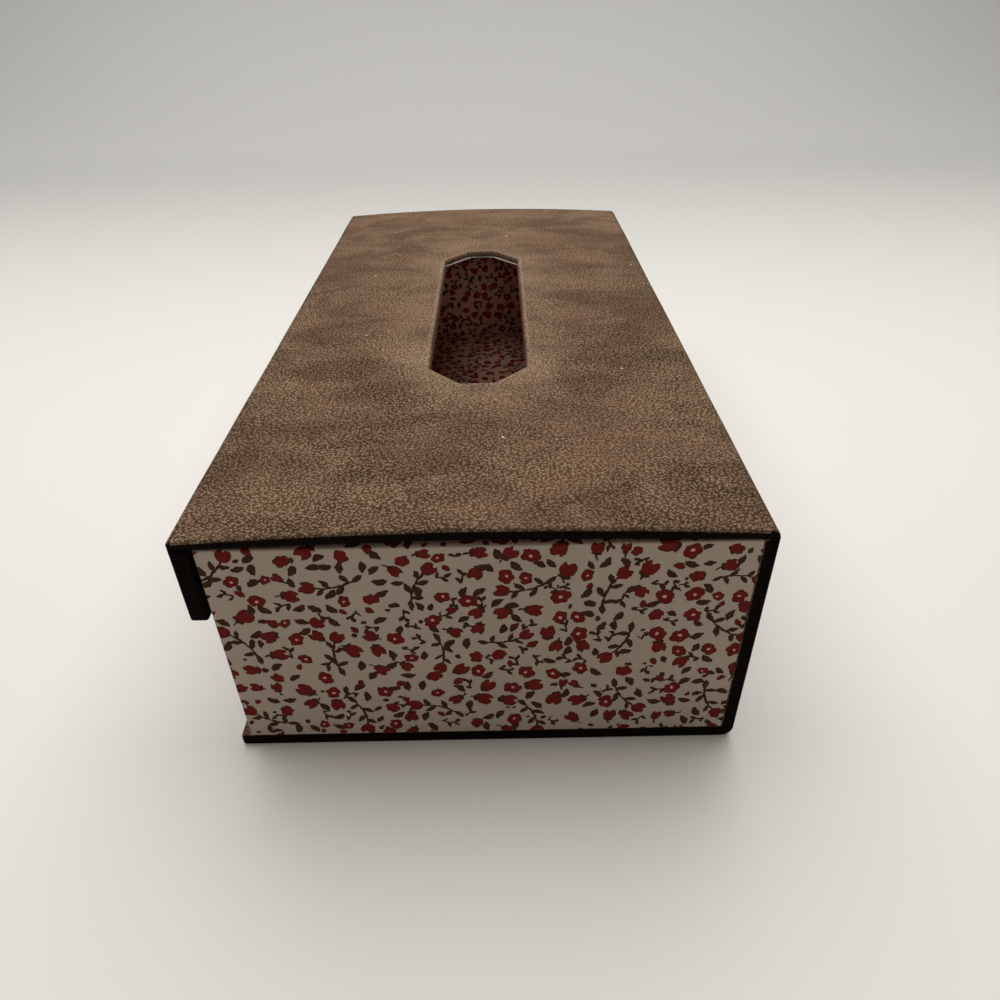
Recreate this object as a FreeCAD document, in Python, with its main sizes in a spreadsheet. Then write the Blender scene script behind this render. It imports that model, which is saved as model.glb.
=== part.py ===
import FreeCAD, Part
import math
import os
import Sketcher

# A book-style tissue box. Its case is one strip of covered boards: base, spine, lid and flap. The case folds
# round an open paper-covered tray. The lid bows up a little along its middle and has a long eight-sided
# opening; it turns on the leather along the spine's top, and the flap turns on the leather along its far edge.
# X runs across the box, from the flap to the spine. Y runs along it and Z points up.
# The origin is in the middle of the footprint, on the surface that the box stands on.

SIZES = [
    ("case_width", 134.0, "outside of the flap to outside of the spine"),
    ("case_length", 268.6, "front end to back end of the case boards"),
    ("side_height", 69.4, "top of the lid along its long edges"),
    ("lid_crown", 2.0, "rise of the lid's middle above its long edges"),
    ("leather", 0.4, "covering material"),
    ("paper", 0.2, "printed paper"),
    ("turn_in", 15.0, "width of leather turned over a free edge"),
    ("corner_radius", 2.5, "outside of the leather along the spine's two folds"),
    ("flap_fold_radius", 1.2, "outside of the leather along the flap's fold"),
    ("base_board_thickness", 3.0, "base board"),
    ("base_inset", 2.6, "base's left edge behind the flap's outside"),
    ("spine_board_thickness", 2.5, "spine board"),
    ("lid_board_thickness", 1.7, "lid board"),
    ("flap_board_thickness", 3.6, "flap board"),
    ("flap_height", 23.6, "lid's long edge to the flap's lower edge"),
    ("flap_clearance", 0.4, "flap board below the lid's underside"),
    ("flap_gap", 0.7, "flap's inside to the tray's side"),
    ("lining_thickness", 0.3, "white card faced with printed paper, under the lid and inside the flap"),
    ("lining_margin", 2.0, "leather left showing round a lining"),
    ("lining_reveal", 0.3, "lining standing into the opening"),
    ("opening_width", 30.0, "opening across the lid"),
    ("opening_length", 126.5, "opening along the lid"),
    ("opening_flat", 10.0, "straight end of the opening"),
    ("opening_taper", 11.0, "length along Y over which the opening narrows"),
    ("opening_turn_in", 10.0, "leather turned under round the opening"),
    ("tray_board_thickness", 2.0, "tray's walls and floor"),
    ("tray_turn_in", 15.0, "wrapping paper turned down inside the rim"),
    ("tray_lining_drop", 3.0, "tray's lining below the rim"),
    ("end_square", 0.3, "case boards past the tray's end walls"),
    ("rim_clearance", 0.05, "tray's rim below the lid's long edges"),
    ("magnet_diameter", 10.0, "closing magnets"),
    ("magnet_thickness", 1.5, "closing magnets"),
    ("magnet_clearance", 0.3, "round a magnet in its recess"),
    ("magnet_seat_gap", 0.05, "glue behind a magnet in its recess"),
    ("magnet_spacing", 160.0, "between the two magnets of a pair"),
    ("magnet_rise", 9.5, "magnets' centres above the flap's lower edge"),
]

document = FreeCAD.newDocument("TissueBox")
sheet = document.addObject("Spreadsheet::Sheet", "Sizes")
for row, (alias, value, meaning) in enumerate(SIZES, start=1):
    sheet.set(f"A{row}", meaning)
    sheet.set(f"B{row}", str(value))
    sheet.setAlias(f"B{row}", alias)
document.recompute()

nodes = []


def size(alias):
    """The sheet's cell, as it is written in an expression."""
    return f"Sizes.{alias}"


# Levels and faces that several pieces share, each worked out from the sheet.
LEATHER = size("leather")
PAPER = size("paper")
HALF_WIDTH = f"({size('case_width')} / 2)"
BASE_LEFT = f"(-{HALF_WIDTH} + {size('base_inset')})"
BASE_RIGHT = f"({HALF_WIDTH} - {size('corner_radius')})"
BASE_TOP = f"(2 * {LEATHER} + {size('base_board_thickness')})"
SPINE_INSIDE = f"({HALF_WIDTH} - 2 * {LEATHER} - {size('spine_board_thickness')})"
SPINE_BOARD_OUTSIDE = f"({HALF_WIDTH} - {LEATHER})"
SPINE_FOLD_TOP = f"({size('side_height')} - {size('corner_radius')})"
LID_STACK = f"(2 * {LEATHER} + {size('lid_board_thickness')} + {size('lining_thickness')})"
LID_RIGHT = BASE_RIGHT
LID_LEFT = f"(-{HALF_WIDTH} + {size('flap_fold_radius')})"
LID_RADIUS = f"({LID_RIGHT} ^ 2 / (2 * {size('lid_crown')}) + {size('lid_crown')} / 2)"
LID_CENTRE = f"({size('side_height')} + {size('lid_crown')} - {LID_RADIUS})"
LID_BOARD_TOP = f"({LID_RADIUS} - {LEATHER})"
LID_BOARD_UNDER = f"({LID_BOARD_TOP} - {size('lid_board_thickness')})"
LID_COVER_UNDER = f"({LID_BOARD_UNDER} - {LEATHER})"
LID_LINING_UNDER = f"({LID_COVER_UNDER} - {size('lining_thickness')})"
LID_LEFT_TOP = f"({LID_CENTRE} + sqrt({LID_RADIUS} ^ 2 - {LID_LEFT} ^ 2))"
FLAP_OUTSIDE = f"(-{HALF_WIDTH})"
FLAP_BOARD_OUTSIDE = f"({FLAP_OUTSIDE} + {LEATHER})"
FLAP_BOARD_INSIDE = f"({FLAP_BOARD_OUTSIDE} + {size('flap_board_thickness')})"
FLAP_COVER_INSIDE = f"({FLAP_BOARD_INSIDE} + {LEATHER})"
FLAP_INSIDE = f"({FLAP_COVER_INSIDE} + {size('lining_thickness')})"
FLAP_BOTTOM = f"({size('side_height')} - {size('flap_height')})"
FLAP_TOP = f"({size('side_height')} - {LID_STACK} - {size('flap_clearance')})"
FLAP_FOLD_TOP = f"({LID_LEFT_TOP} - {size('flap_fold_radius')})"
TRAY_LEFT = f"({FLAP_INSIDE} + {size('flap_gap')})"
TRAY_RIGHT = SPINE_INSIDE
TRAY_LENGTH = f"({size('case_length')} - 2 * {size('end_square')})"
TRAY_TOP = f"({size('side_height')} - {LID_STACK} - {size('rim_clearance')})"
TRAY_BOARD = size("tray_board_thickness")
WALL_LEFT = f"({TRAY_LEFT} + {PAPER})"
WALL_RIGHT = f"({TRAY_RIGHT} - {PAPER})"
WALL_HALF_LENGTH = f"({TRAY_LENGTH} / 2 - {PAPER})"
WALL_BOTTOM = f"({BASE_TOP} + {PAPER})"
WALL_TOP = f"({TRAY_TOP} - {PAPER})"
FLOOR_TOP = f"({WALL_BOTTOM} + {TRAY_BOARD})"
LINED_FLOOR_TOP = f"({FLOOR_TOP} + {PAPER})"
MAGNET_LEVEL = f"({FLAP_BOTTOM} + {size('magnet_rise')})"
EDGE_ROUND = f"(2 * {LEATHER})"
PAPER_ROUND = f"(2 * {PAPER})"


def value_of(expression):
    """The number that an expression has with the sheet as it is."""
    return float(sheet.evalExpression(expression))


def new_body(label):
    """An empty body of the document, named after its piece."""
    body = document.addObject("PartDesign::Body", label)
    body.Label = label
    return body


def keep(piece):
    """Puts a finished piece on the list of those that are written."""
    nodes.append(piece)
    return piece


def new_sketch(body, name, role, offset=None):
    """A sketch on one of the body's own origin planes, moved along the plane's normal by an expression."""
    sketch = body.newObject("Sketcher::SketchObject", name)
    plane = next(p for p in body.Origin.OriginFeatures if p.Role == role)
    sketch.AttachmentSupport = [(plane, "")]
    sketch.MapMode = "FlatFace"
    if offset is not None:
        sketch.setExpression("AttachmentOffset.Base.z", offset)
    return sketch


def constrain(sketch, kind, geometry, point, expression):
    """Holds one coordinate of a point, measured from the sketch's origin, at an expression."""
    number = sketch.addConstraint(
        Sketcher.Constraint(kind, -1, 1, geometry, point, value_of(expression))
    )
    sketch.setExpression(f"Constraints[{number}]", expression)


def add_outline(sketch, corners):
    """A closed straight-sided outline through corners that are given as pairs of expressions."""
    places = [FreeCAD.Vector(value_of(x), value_of(y), 0) for x, y in corners]
    first = sketch.GeometryCount
    count = len(places)
    for i in range(count):
        sketch.addGeometry(Part.LineSegment(places[i], places[(i + 1) % count]), False)
    for i in range(count):
        following = first + (i + 1) % count
        sketch.addConstraint(Sketcher.Constraint("Coincident", first + i, 2, following, 1))
    for i, (x, y) in enumerate(corners):
        constrain(sketch, "DistanceX", first + i, 1, x)
        constrain(sketch, "DistanceY", first + i, 1, y)


def rectangle(left, right, bottom, top):
    """The four corners of a rectangle, from its four sides."""
    return [(left, bottom), (right, bottom), (right, top), (left, top)]


def centred_rectangle(left, right, half_length):
    """A rectangle in plan whose two ends lie the same way from the middle of the box."""
    return rectangle(left, right, f"(-{half_length})", half_length)


def add_ring(sketch, centre, radii, ends):
    """Part of a ring between two arcs about one centre, with straight ends.

    radii are the outer and the inner one, and ends are the directions in which the ring starts and stops,
    counter-clockwise, each as (kind of constraint, expression, outer point, inner point).
    """
    middle = FreeCAD.Vector(value_of(centre[0]), value_of(centre[1]), 0)
    upright = FreeCAD.Vector(0, 0, 1)
    circles = [Part.Circle(middle, upright, value_of(radius)) for radius in radii]
    (start_kind, start_at, start_outer, start_inner), (stop_kind, stop_at, stop_outer, stop_inner) = ends
    starts = [circles[0].parameter(start_outer), circles[1].parameter(start_inner)]
    stops = [circles[0].parameter(stop_outer), circles[1].parameter(stop_inner)]
    outer, inner = [
        sketch.addGeometry(Part.ArcOfCircle(circle, start, stop), False)
        for circle, start, stop in zip(circles, starts, stops)
    ]
    first = sketch.addGeometry(Part.LineSegment(start_inner, start_outer), False)
    second = sketch.addGeometry(Part.LineSegment(stop_outer, stop_inner), False)
    for one, one_point, other, other_point in (
        (first, 1, inner, 1),
        (first, 2, outer, 1),
        (second, 1, outer, 2),
        (second, 2, inner, 2),
        (outer, 3, inner, 3),
    ):
        sketch.addConstraint(Sketcher.Constraint("Coincident", one, one_point, other, other_point))
    constrain(sketch, "DistanceX", outer, 3, centre[0])
    constrain(sketch, "DistanceY", outer, 3, centre[1])
    for arc, radius in zip((outer, inner), radii):
        number = sketch.addConstraint(Sketcher.Constraint("Radius", arc, value_of(radius)))
        sketch.setExpression(f"Constraints[{number}]", radius)
        constrain(sketch, start_kind, arc, 1, start_at)
        constrain(sketch, stop_kind, arc, 2, stop_at)


def add_crowned_band(sketch, outer, inner, left, right):
    """The lid's bowed section between two of its layers' radii, cut off upright at left and right."""
    middle = value_of(LID_CENTRE)

    def at(x, radius):
        across = value_of(x)
        return FreeCAD.Vector(across, middle + (value_of(radius) ** 2 - across**2) ** 0.5, 0)

    ends = [
        ("DistanceX", right, at(right, outer), at(right, inner)),
        ("DistanceX", left, at(left, outer), at(left, inner)),
    ]
    add_ring(sketch, ("0", LID_CENTRE), (outer, inner), ends)


def add_fold(sketch, centre_x, centre_z, radius, quarter):
    """Leather bent round a quarter circle. quarter 0 faces right and up, 1 left and up, 3 right and down."""
    inner = f"({radius} - {LEATHER})"
    middle = FreeCAD.Vector(value_of(centre_x), value_of(centre_z), 0)
    towards = [FreeCAD.Vector(x, z, 0) for x, z in ((1, 0), (0, 1), (-1, 0), (0, -1))]

    def end(direction):
        kind, held = ("DistanceY", centre_z) if direction.x else ("DistanceX", centre_x)
        return kind, held, middle + direction * value_of(radius), middle + direction * value_of(inner)

    ends = [end(towards[quarter]), end(towards[(quarter + 1) % 4])]
    add_ring(sketch, (centre_x, centre_z), (radius, inner), ends)


def add_rounded_rectangle(sketch, left, right, bottom, top, radius):
    """A rectangle whose four corners are arcs of one radius, each tangent to its two sides."""
    turn = value_of(radius)
    low = FreeCAD.Vector(value_of(left) + turn, value_of(bottom) + turn, 0)
    high = FreeCAD.Vector(value_of(right) - turn, value_of(top) - turn, 0)
    centres = [low, FreeCAD.Vector(high.x, low.y, 0), high, FreeCAD.Vector(low.x, high.y, 0)]
    upright = FreeCAD.Vector(0, 0, 1)
    arcs = []
    for i, centre in enumerate(centres):
        circle = Part.Circle(centre, upright, turn)
        start = math.pi * (1 + i / 2)
        arcs.append(sketch.addGeometry(Part.ArcOfCircle(circle, start, start + math.pi / 2), False))
    sides = []
    for i, arc in enumerate(arcs):
        following = arcs[(i + 1) % 4]
        ends = sketch.Geometry[arc].EndPoint, sketch.Geometry[following].StartPoint
        sides.append(sketch.addGeometry(Part.LineSegment(*ends), False))
        sketch.addConstraint(Sketcher.Constraint("Tangent", arc, 2, sides[i], 1))
        sketch.addConstraint(Sketcher.Constraint("Tangent", sides[i], 2, following, 1))
    for side, level in ((0, bottom), (2, top)):
        sketch.addConstraint(Sketcher.Constraint("Horizontal", sides[side]))
        constrain(sketch, "DistanceY", sides[side], 1, level)
    for side, place in ((1, right), (3, left)):
        sketch.addConstraint(Sketcher.Constraint("Vertical", sides[side]))
        constrain(sketch, "DistanceX", sides[side], 1, place)
    for arc in arcs:
        number = sketch.addConstraint(Sketcher.Constraint("Radius", arc, turn))
        sketch.setExpression(f"Constraints[{number}]", radius)


def add_rounded_lid_layer(body, name, outer, inner):
    """Turns the lid's long section, with its rounded ends, about the line that the crown is struck from."""
    half_length = f"({size('case_length')} / 2)"
    sketch = new_sketch(body, f"{name}_long_section", "YZ_Plane")
    add_rounded_rectangle(
        sketch, f"(-{half_length})", half_length,
        f"({LID_CENTRE} + {inner})", f"({LID_CENTRE} + {outer})", EDGE_ROUND,
    )
    level = value_of(LID_CENTRE)
    reach = value_of(half_length)
    axis = sketch.addGeometry(
        Part.LineSegment(FreeCAD.Vector(-reach, level, 0), FreeCAD.Vector(reach, level, 0)), True
    )
    for point, place in ((1, f"(-{half_length})"), (2, half_length)):
        constrain(sketch, "DistanceX", axis, point, place)
        constrain(sketch, "DistanceY", axis, point, LID_CENTRE)
    turned = body.newObject("PartDesign::Revolution", name)
    turned.Profile = sketch
    turned.ReferenceAxis = (sketch, ["Axis0"])
    turned.Midplane = True
    turned.setExpression("Angle", f"2 * asin({HALF_WIDTH} / {inner})")
    document.recompute()
    trim = new_sketch(body, f"{name}_trim_plan", "XY_Plane")
    beyond = size("case_width")
    add_outline(trim, centred_rectangle(f"(-{beyond})", LID_LEFT, beyond_ends()))
    add_outline(trim, centred_rectangle(LID_RIGHT, beyond, beyond_ends()))
    return cut(body, f"{name}_trim", trim)


def beyond_ends():
    """A half length that reaches past both ends of the case."""
    return f"(0.6 * {size('case_length')})"


def add_section(body, name, length, draw):
    """Pads a section of the XZ plane the same way to both sides of the middle. draw fills the sketch."""
    sketch = new_sketch(body, f"{name}_section", "XZ_Plane")
    draw(sketch)
    pad = body.newObject("PartDesign::Pad", name)
    pad.Profile = sketch
    pad.SideType = "Symmetric"
    pad.setExpression("Length", length)
    document.recompute()
    return pad


def add_block(body, name, length, left, right, bottom, top):
    """Pads a rectangular section along the box."""
    corners = rectangle(left, right, bottom, top)
    return add_section(body, name, length, lambda sketch: add_outline(sketch, corners))


def add_plan(body, name, outlines, bottom, height):
    """Pads closed outlines of the XY plane upwards from a level."""
    sketch = new_sketch(body, f"{name}_plan", "XY_Plane", bottom)
    for corners in outlines:
        add_outline(sketch, corners)
    pad = body.newObject("PartDesign::Pad", name)
    pad.Profile = sketch
    pad.setExpression("Length", height)
    document.recompute()
    return pad


def cut(body, name, sketch, length=None, reverse=False):
    """Pockets a sketch, through everything where no length is given, and makes sure that it removes material."""
    before = body.Shape.Volume
    pocket = body.newObject("PartDesign::Pocket", name)
    pocket.Profile = sketch
    if length is None:
        pocket.Type = "ThroughAll"
        pocket.SideType = "Symmetric"
    else:
        pocket.setExpression("Length", length)
        pocket.Reversed = reverse
    document.recompute()
    if body.Shape.Volume >= before:
        raise RuntimeError(f"{name} cuts nothing")
    return pocket


def round_edges(body, name, radius, chosen):
    """Fillets the edges of the body's last feature for which chosen(edge's middle, edge) is true."""
    base = body.Tip
    names = [
        f"Edge{i}"
        for i, edge in enumerate(base.Shape.Edges, start=1)
        if chosen(edge.CenterOfMass, edge)
    ]
    fillet = body.newObject("PartDesign::Fillet", name)
    fillet.Base = (base, names)
    fillet.setExpression("Radius", radius)
    document.recompute()
    return fillet


def near(first, second):
    """True where two lengths are the same to well under a leather's thickness."""
    return abs(first - second) < value_of(LEATHER) / 20


def is_end(middle):
    """True for an edge that lies in the front or the back end of the case."""
    return near(abs(middle.y), value_of(size("case_length")) / 2)


def is_level(edge):
    """True for an edge whose two ends lie at nearly the same height."""
    return abs(edge.Vertexes[0].Z - edge.Vertexes[-1].Z) < value_of(size("lid_crown")) / 2


def wrap_board(label, block, board):
    """The covering round a board: the covered outline with the board's own room taken out of it."""
    cover = document.addObject("Part::Cut", label)
    cover.Label = label
    cover.Base = block
    cover.Tool = board
    document.recompute()
    return keep(cover)


def opening_outline(growth):
    """The lid's long eight-sided opening, with every side moved outwards by growth."""
    half_width = f"({size('opening_width')} / 2)"
    half_length = f"({size('opening_length')} / 2)"
    half_flat = f"({size('opening_flat')} / 2)"
    taper = size("opening_taper")
    narrowing = f"({half_width} - {half_flat})"
    slant = f"sqrt({narrowing} ^ 2 + {taper} ^ 2)"
    side = f"({half_width} + {growth})"
    end = f"({half_length} + {growth})"
    side_stop = f"({half_length} - {taper} + {growth} * ({slant} - {taper}) / {narrowing})"
    end_stop = f"({half_flat} + {growth} * ({slant} - {narrowing}) / {taper})"
    quarter = [(side, side_stop), (end_stop, end)]
    mirrored = [(f"(-{x})", y) for x, y in reversed(quarter)]
    upper = quarter + mirrored
    lower = [(f"(-{x})", f"(-{y})") for x, y in upper]
    return upper + lower


def cut_opening(body, growth):
    """Cuts the opening through a layer of the lid."""
    sketch = new_sketch(body, f"{body.Name}_opening_plan", "XY_Plane")
    add_outline(sketch, opening_outline(growth))
    return cut(body, f"{body.Name}_opening", sketch)


def cut_magnet_recesses(body, face, reverse):
    """Two round recesses for the closing magnets, sunk from a face that is square to X."""
    sketch = new_sketch(body, f"{body.Name}_recess_plan", "YZ_Plane", face)
    radius = f"({size('magnet_diameter')} / 2 + {size('magnet_clearance')})"
    for sign in ("-", ""):
        along = f"({sign}{size('magnet_spacing')} / 2)"
        place = FreeCAD.Vector(value_of(along), value_of(MAGNET_LEVEL), 0)
        circle = Part.Circle(place, FreeCAD.Vector(0, 0, 1), value_of(radius))
        geometry = sketch.addGeometry(circle, False)
        number = sketch.addConstraint(Sketcher.Constraint("Radius", geometry, value_of(radius)))
        sketch.setExpression(f"Constraints[{number}]", radius)
        constrain(sketch, "DistanceX", geometry, 3, along)
        constrain(sketch, "DistanceY", geometry, 3, MAGNET_LEVEL)
    depth = f"({size('magnet_thickness')} + {size('magnet_seat_gap')})"
    return cut(body, f"{body.Name}_recesses", sketch, depth, reverse)


def make_base():
    """The base board and the leather round its three free edges and under it, up to the spine's lower fold."""
    board = keep(new_body("base_board"))
    core_length = f"({size('case_length')} - 2 * {LEATHER})"
    add_block(
        board, "base_core", core_length,
        f"({BASE_LEFT} + {LEATHER})", BASE_RIGHT, LEATHER, f"({BASE_TOP} - {LEATHER})",
    )
    add_block(
        board, "base_middle", f"({size('case_length')} - 2 * {size('turn_in')})",
        f"({BASE_LEFT} + {size('turn_in')})", BASE_RIGHT, f"({BASE_TOP} - {LEATHER})", BASE_TOP,
    )
    block = new_body("base_outline")
    add_block(block, "base_block", size("case_length"), BASE_LEFT, BASE_RIGHT, "0", BASE_TOP)
    left = value_of(BASE_LEFT)
    round_edges(
        block, "base_edges", EDGE_ROUND,
        lambda middle, edge: is_end(middle) or near(middle.x, left),
    )
    add_section(
        block, "base_fold", size("case_length"),
        lambda sketch: add_fold(sketch, BASE_RIGHT, size("corner_radius"), size("corner_radius"), 3),
    )
    wrap_board("base_cover", block, board)


def make_spine():
    """The upright spine board and its leather, which stands on from the lower fold to the lid's fold."""
    board = keep(new_body("spine_board"))
    core_inside = f"({SPINE_INSIDE} + {LEATHER})"
    add_block(
        board, "spine_core", f"({size('case_length')} - 2 * {LEATHER})",
        core_inside, SPINE_BOARD_OUTSIDE, BASE_TOP, TRAY_TOP,
    )
    add_block(
        board, "spine_middle", f"({size('case_length')} - 2 * {size('turn_in')})",
        SPINE_INSIDE, core_inside, BASE_TOP, TRAY_TOP,
    )
    block = new_body("spine_outline")
    add_block(
        block, "spine_block", size("case_length"), SPINE_INSIDE, HALF_WIDTH, BASE_TOP, TRAY_TOP
    )
    outside = value_of(HALF_WIDTH)
    round_edges(
        block, "spine_edges", EDGE_ROUND,
        lambda middle, edge: is_end(middle) and near(middle.x, outside),
    )
    add_block(
        block, "spine_sheet", size("case_length"),
        SPINE_BOARD_OUTSIDE, HALF_WIDTH, size("corner_radius"), SPINE_FOLD_TOP,
    )
    wrap_board("spine_cover", block, board)


def make_lid():
    """The bowed lid: its board, the leather over it and round the opening, and the lining under it."""
    board = keep(new_body("lid_board"))
    core_length = f"({size('case_length')} - 2 * {LEATHER})"
    middle_length = f"({size('case_length')} - 2 * {size('turn_in')})"
    ring = f"({size('opening_width')} / 2 + {size('opening_turn_in')})"
    add_section(
        board, "lid_core", core_length,
        lambda sketch: add_crowned_band(sketch, LID_BOARD_TOP, LID_BOARD_UNDER, LID_LEFT, LID_RIGHT),
    )
    sides = (
        ("lid_left_middle", f"({LID_LEFT} + {size('turn_in')})", f"(-{ring})"),
        ("lid_right_middle", ring, f"({LID_RIGHT} - {size('turn_in')})"),
    )
    for name, left, right in sides:
        add_section(
            board, name, middle_length,
            lambda sketch: add_crowned_band(sketch, LID_BOARD_UNDER, LID_COVER_UNDER, left, right),
        )
    cut_opening(board, LEATHER)

    block = new_body("lid_outline")
    add_rounded_lid_layer(block, "lid_block", LID_RADIUS, LID_COVER_UNDER)
    cut_opening(block, "0")
    rim_level = value_of(LID_CENTRE) + value_of(LID_BOARD_TOP)
    reach = value_of(size("opening_length")) / 2 + value_of(LEATHER)
    half = value_of(size("opening_width")) / 2 + value_of(LEATHER)
    crown_drop = half**2 / (2 * value_of(LID_RADIUS))

    def on_opening_rim(middle, edge):
        """True for the opening's upper edges, where the leather rolls down into it."""
        in_opening = abs(middle.x) < half and abs(middle.y) < reach
        return in_opening and middle.z > rim_level - crown_drop and is_level(edge)

    round_edges(block, "lid_opening_edge", EDGE_ROUND, on_opening_rim)
    wrap_board("lid_cover", block, board)

    lining = keep(new_body("lid_lining"))
    add_section(
        lining, "lid_lining_sheet", f"({size('case_length')} - 2 * {size('lining_margin')})",
        lambda sketch: add_crowned_band(
            sketch, LID_COVER_UNDER, LID_LINING_UNDER,
            f"({LID_LEFT} + {size('lining_margin')})", f"({LID_RIGHT} - {size('lining_margin')})",
        ),
    )
    cut_opening(lining, f"(-{size('lining_reveal')})")


def make_flap():
    """The closing flap: its thick board with two recesses, the leather round it and the lining inside."""
    board = keep(new_body("flap_board"))
    add_block(
        board, "flap_core", f"({size('case_length')} - 2 * {LEATHER})",
        FLAP_BOARD_OUTSIDE, FLAP_BOARD_INSIDE, f"({FLAP_BOTTOM} + {LEATHER})", FLAP_TOP,
    )
    add_block(
        board, "flap_middle", f"({size('case_length')} - 2 * {size('turn_in')})",
        FLAP_BOARD_INSIDE, FLAP_COVER_INSIDE, f"({FLAP_BOTTOM} + {size('turn_in')})", FLAP_TOP,
    )
    block = new_body("flap_outline")
    add_block(
        block, "flap_block", size("case_length"),
        FLAP_OUTSIDE, FLAP_COVER_INSIDE, FLAP_BOTTOM, FLAP_TOP,
    )
    bottom = value_of(FLAP_BOTTOM)
    top = value_of(FLAP_TOP)
    round_edges(
        block, "flap_edges", EDGE_ROUND,
        lambda middle, edge: near(middle.z, bottom) or (is_end(middle) and not near(middle.z, top)),
    )
    add_block(
        block, "flap_sheet", size("case_length"),
        FLAP_OUTSIDE, FLAP_BOARD_OUTSIDE, f"({FLAP_BOTTOM} + {size('turn_in')})", FLAP_FOLD_TOP,
    )
    for body in (board, block):
        cut_magnet_recesses(body, FLAP_BOARD_INSIDE, False)
    wrap_board("flap_cover", block, board)

    lining = keep(new_body("flap_lining"))
    add_block(
        lining, "flap_lining_sheet", f"({size('case_length')} - 2 * {size('lining_margin')})",
        FLAP_COVER_INSIDE, FLAP_INSIDE, f"({FLAP_BOTTOM} + {size('lining_margin')})", FLAP_TOP,
    )


def make_fold(label, centre_x, centre_z, radius, quarter):
    """A strip of leather along the whole case that bends round one fold."""
    strip = keep(new_body(label))
    add_section(
        strip, f"{label}_strip", size("case_length"),
        lambda sketch: add_fold(sketch, centre_x, centre_z, radius, quarter),
    )


def make_slab(label, spans):
    """A flat rectangular board or sheet between pairs of expressions along X, Y and Z."""
    slab = document.addObject("Part::Box", label)
    slab.Label = label
    for axis, side, (low, high) in zip("xyz", ("Length", "Width", "Height"), spans):
        slab.setExpression(f"Placement.Base.{axis}", low)
        slab.setExpression(side, f"({high}) - ({low})")
    return keep(slab)


def make_tray_boards():
    """The tray's floor and four walls. The end walls stand between the side walls, round the floor."""
    inside_left = f"({WALL_LEFT} + {TRAY_BOARD})"
    inside_right = f"({WALL_RIGHT} - {TRAY_BOARD})"
    inside_end = f"({WALL_HALF_LENGTH} - {TRAY_BOARD})"
    across = (inside_left, inside_right)
    up = (WALL_BOTTOM, WALL_TOP)
    make_slab("tray_floor_board", (across, (f"(-{inside_end})", inside_end), (WALL_BOTTOM, FLOOR_TOP)))
    make_slab("tray_front_board", (across, (f"(-{WALL_HALF_LENGTH})", f"(-{inside_end})"), up))
    make_slab("tray_back_board", (across, (inside_end, WALL_HALF_LENGTH), up))
    whole = (f"(-{WALL_HALF_LENGTH})", WALL_HALF_LENGTH)
    make_slab("tray_spine_side_board", ((inside_right, WALL_RIGHT), whole, up))
    board = keep(new_body("tray_flap_side_board"))
    add_block(
        board, "tray_flap_side", f"(2 * {WALL_HALF_LENGTH})", WALL_LEFT, inside_left, WALL_BOTTOM, WALL_TOP
    )
    cut_magnet_recesses(board, WALL_LEFT, True)


def make_tray_papers():
    """The printed paper round the tray and over its rim, and the lining of its walls and floor."""
    board_left = f"({WALL_LEFT} + {TRAY_BOARD})"
    board_right = f"({WALL_RIGHT} - {TRAY_BOARD})"
    board_end = f"({WALL_HALF_LENGTH} - {TRAY_BOARD})"
    outside = centred_rectangle(TRAY_LEFT, TRAY_RIGHT, f"({TRAY_LENGTH} / 2)")
    boards = centred_rectangle(WALL_LEFT, WALL_RIGHT, WALL_HALF_LENGTH)
    bare = centred_rectangle(board_left, board_right, board_end)
    turned = inset_plan(board_left, board_right, board_end, PAPER)
    lined = inset_plan(board_left, board_right, board_end, f"(2 * {PAPER})")

    wrap = keep(new_body("tray_wrap"))
    add_plan(wrap, "wrap_block", [outside], BASE_TOP, f"({TRAY_TOP} - {BASE_TOP})")
    length = value_of(TRAY_LENGTH) / 2
    sides = (value_of(TRAY_LEFT), value_of(TRAY_RIGHT))
    top = value_of(TRAY_TOP)
    bottom = value_of(BASE_TOP)
    round_edges(
        wrap, "wrap_edges", PAPER_ROUND,
        lambda middle, edge: not near(middle.z, bottom) and (
            near(middle.z, top) or (abs(middle.y) > length - 1 and min(abs(middle.x - x) for x in sides) < 1)
        ),
    )
    cavity = new_sketch(wrap, "wrap_cavity_plan", "XY_Plane", WALL_BOTTOM)
    add_outline(cavity, bare)
    cut(wrap, "wrap_cavity", cavity, f"({TRAY_TOP} - {WALL_BOTTOM})", True)
    room = new_sketch(wrap, "wrap_board_room_plan", "XY_Plane", WALL_BOTTOM)
    add_outline(room, boards)
    cut(wrap, "wrap_board_room", room, f"({WALL_TOP} - {WALL_BOTTOM})", True)
    turn_bottom = f"({TRAY_TOP} - {size('tray_turn_in')})"
    add_plan(wrap, "wrap_turn_in", [bare, turned], turn_bottom, size("tray_turn_in"))

    lining = keep(new_body("tray_wall_lining"))
    lining_top = f"({TRAY_TOP} - {size('tray_lining_drop')})"
    add_plan(lining, "tray_wall_sheet", [turned, lined], FLOOR_TOP, f"({lining_top} - {FLOOR_TOP})")
    left, right, end = [
        f"({board_left} + 2 * {PAPER})", f"({board_right} - 2 * {PAPER})", f"({board_end} - 2 * {PAPER})"
    ]
    make_slab("tray_floor_lining", ((left, right), (f"(-{end})", end), (FLOOR_TOP, LINED_FLOOR_TOP)))


def inset_plan(left, right, half_length, inset):
    """A rectangle in plan that lies inside another by the same width all round."""
    return centred_rectangle(
        f"({left} + {inset})", f"({right} - {inset})", f"({half_length} - {inset})"
    )


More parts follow.
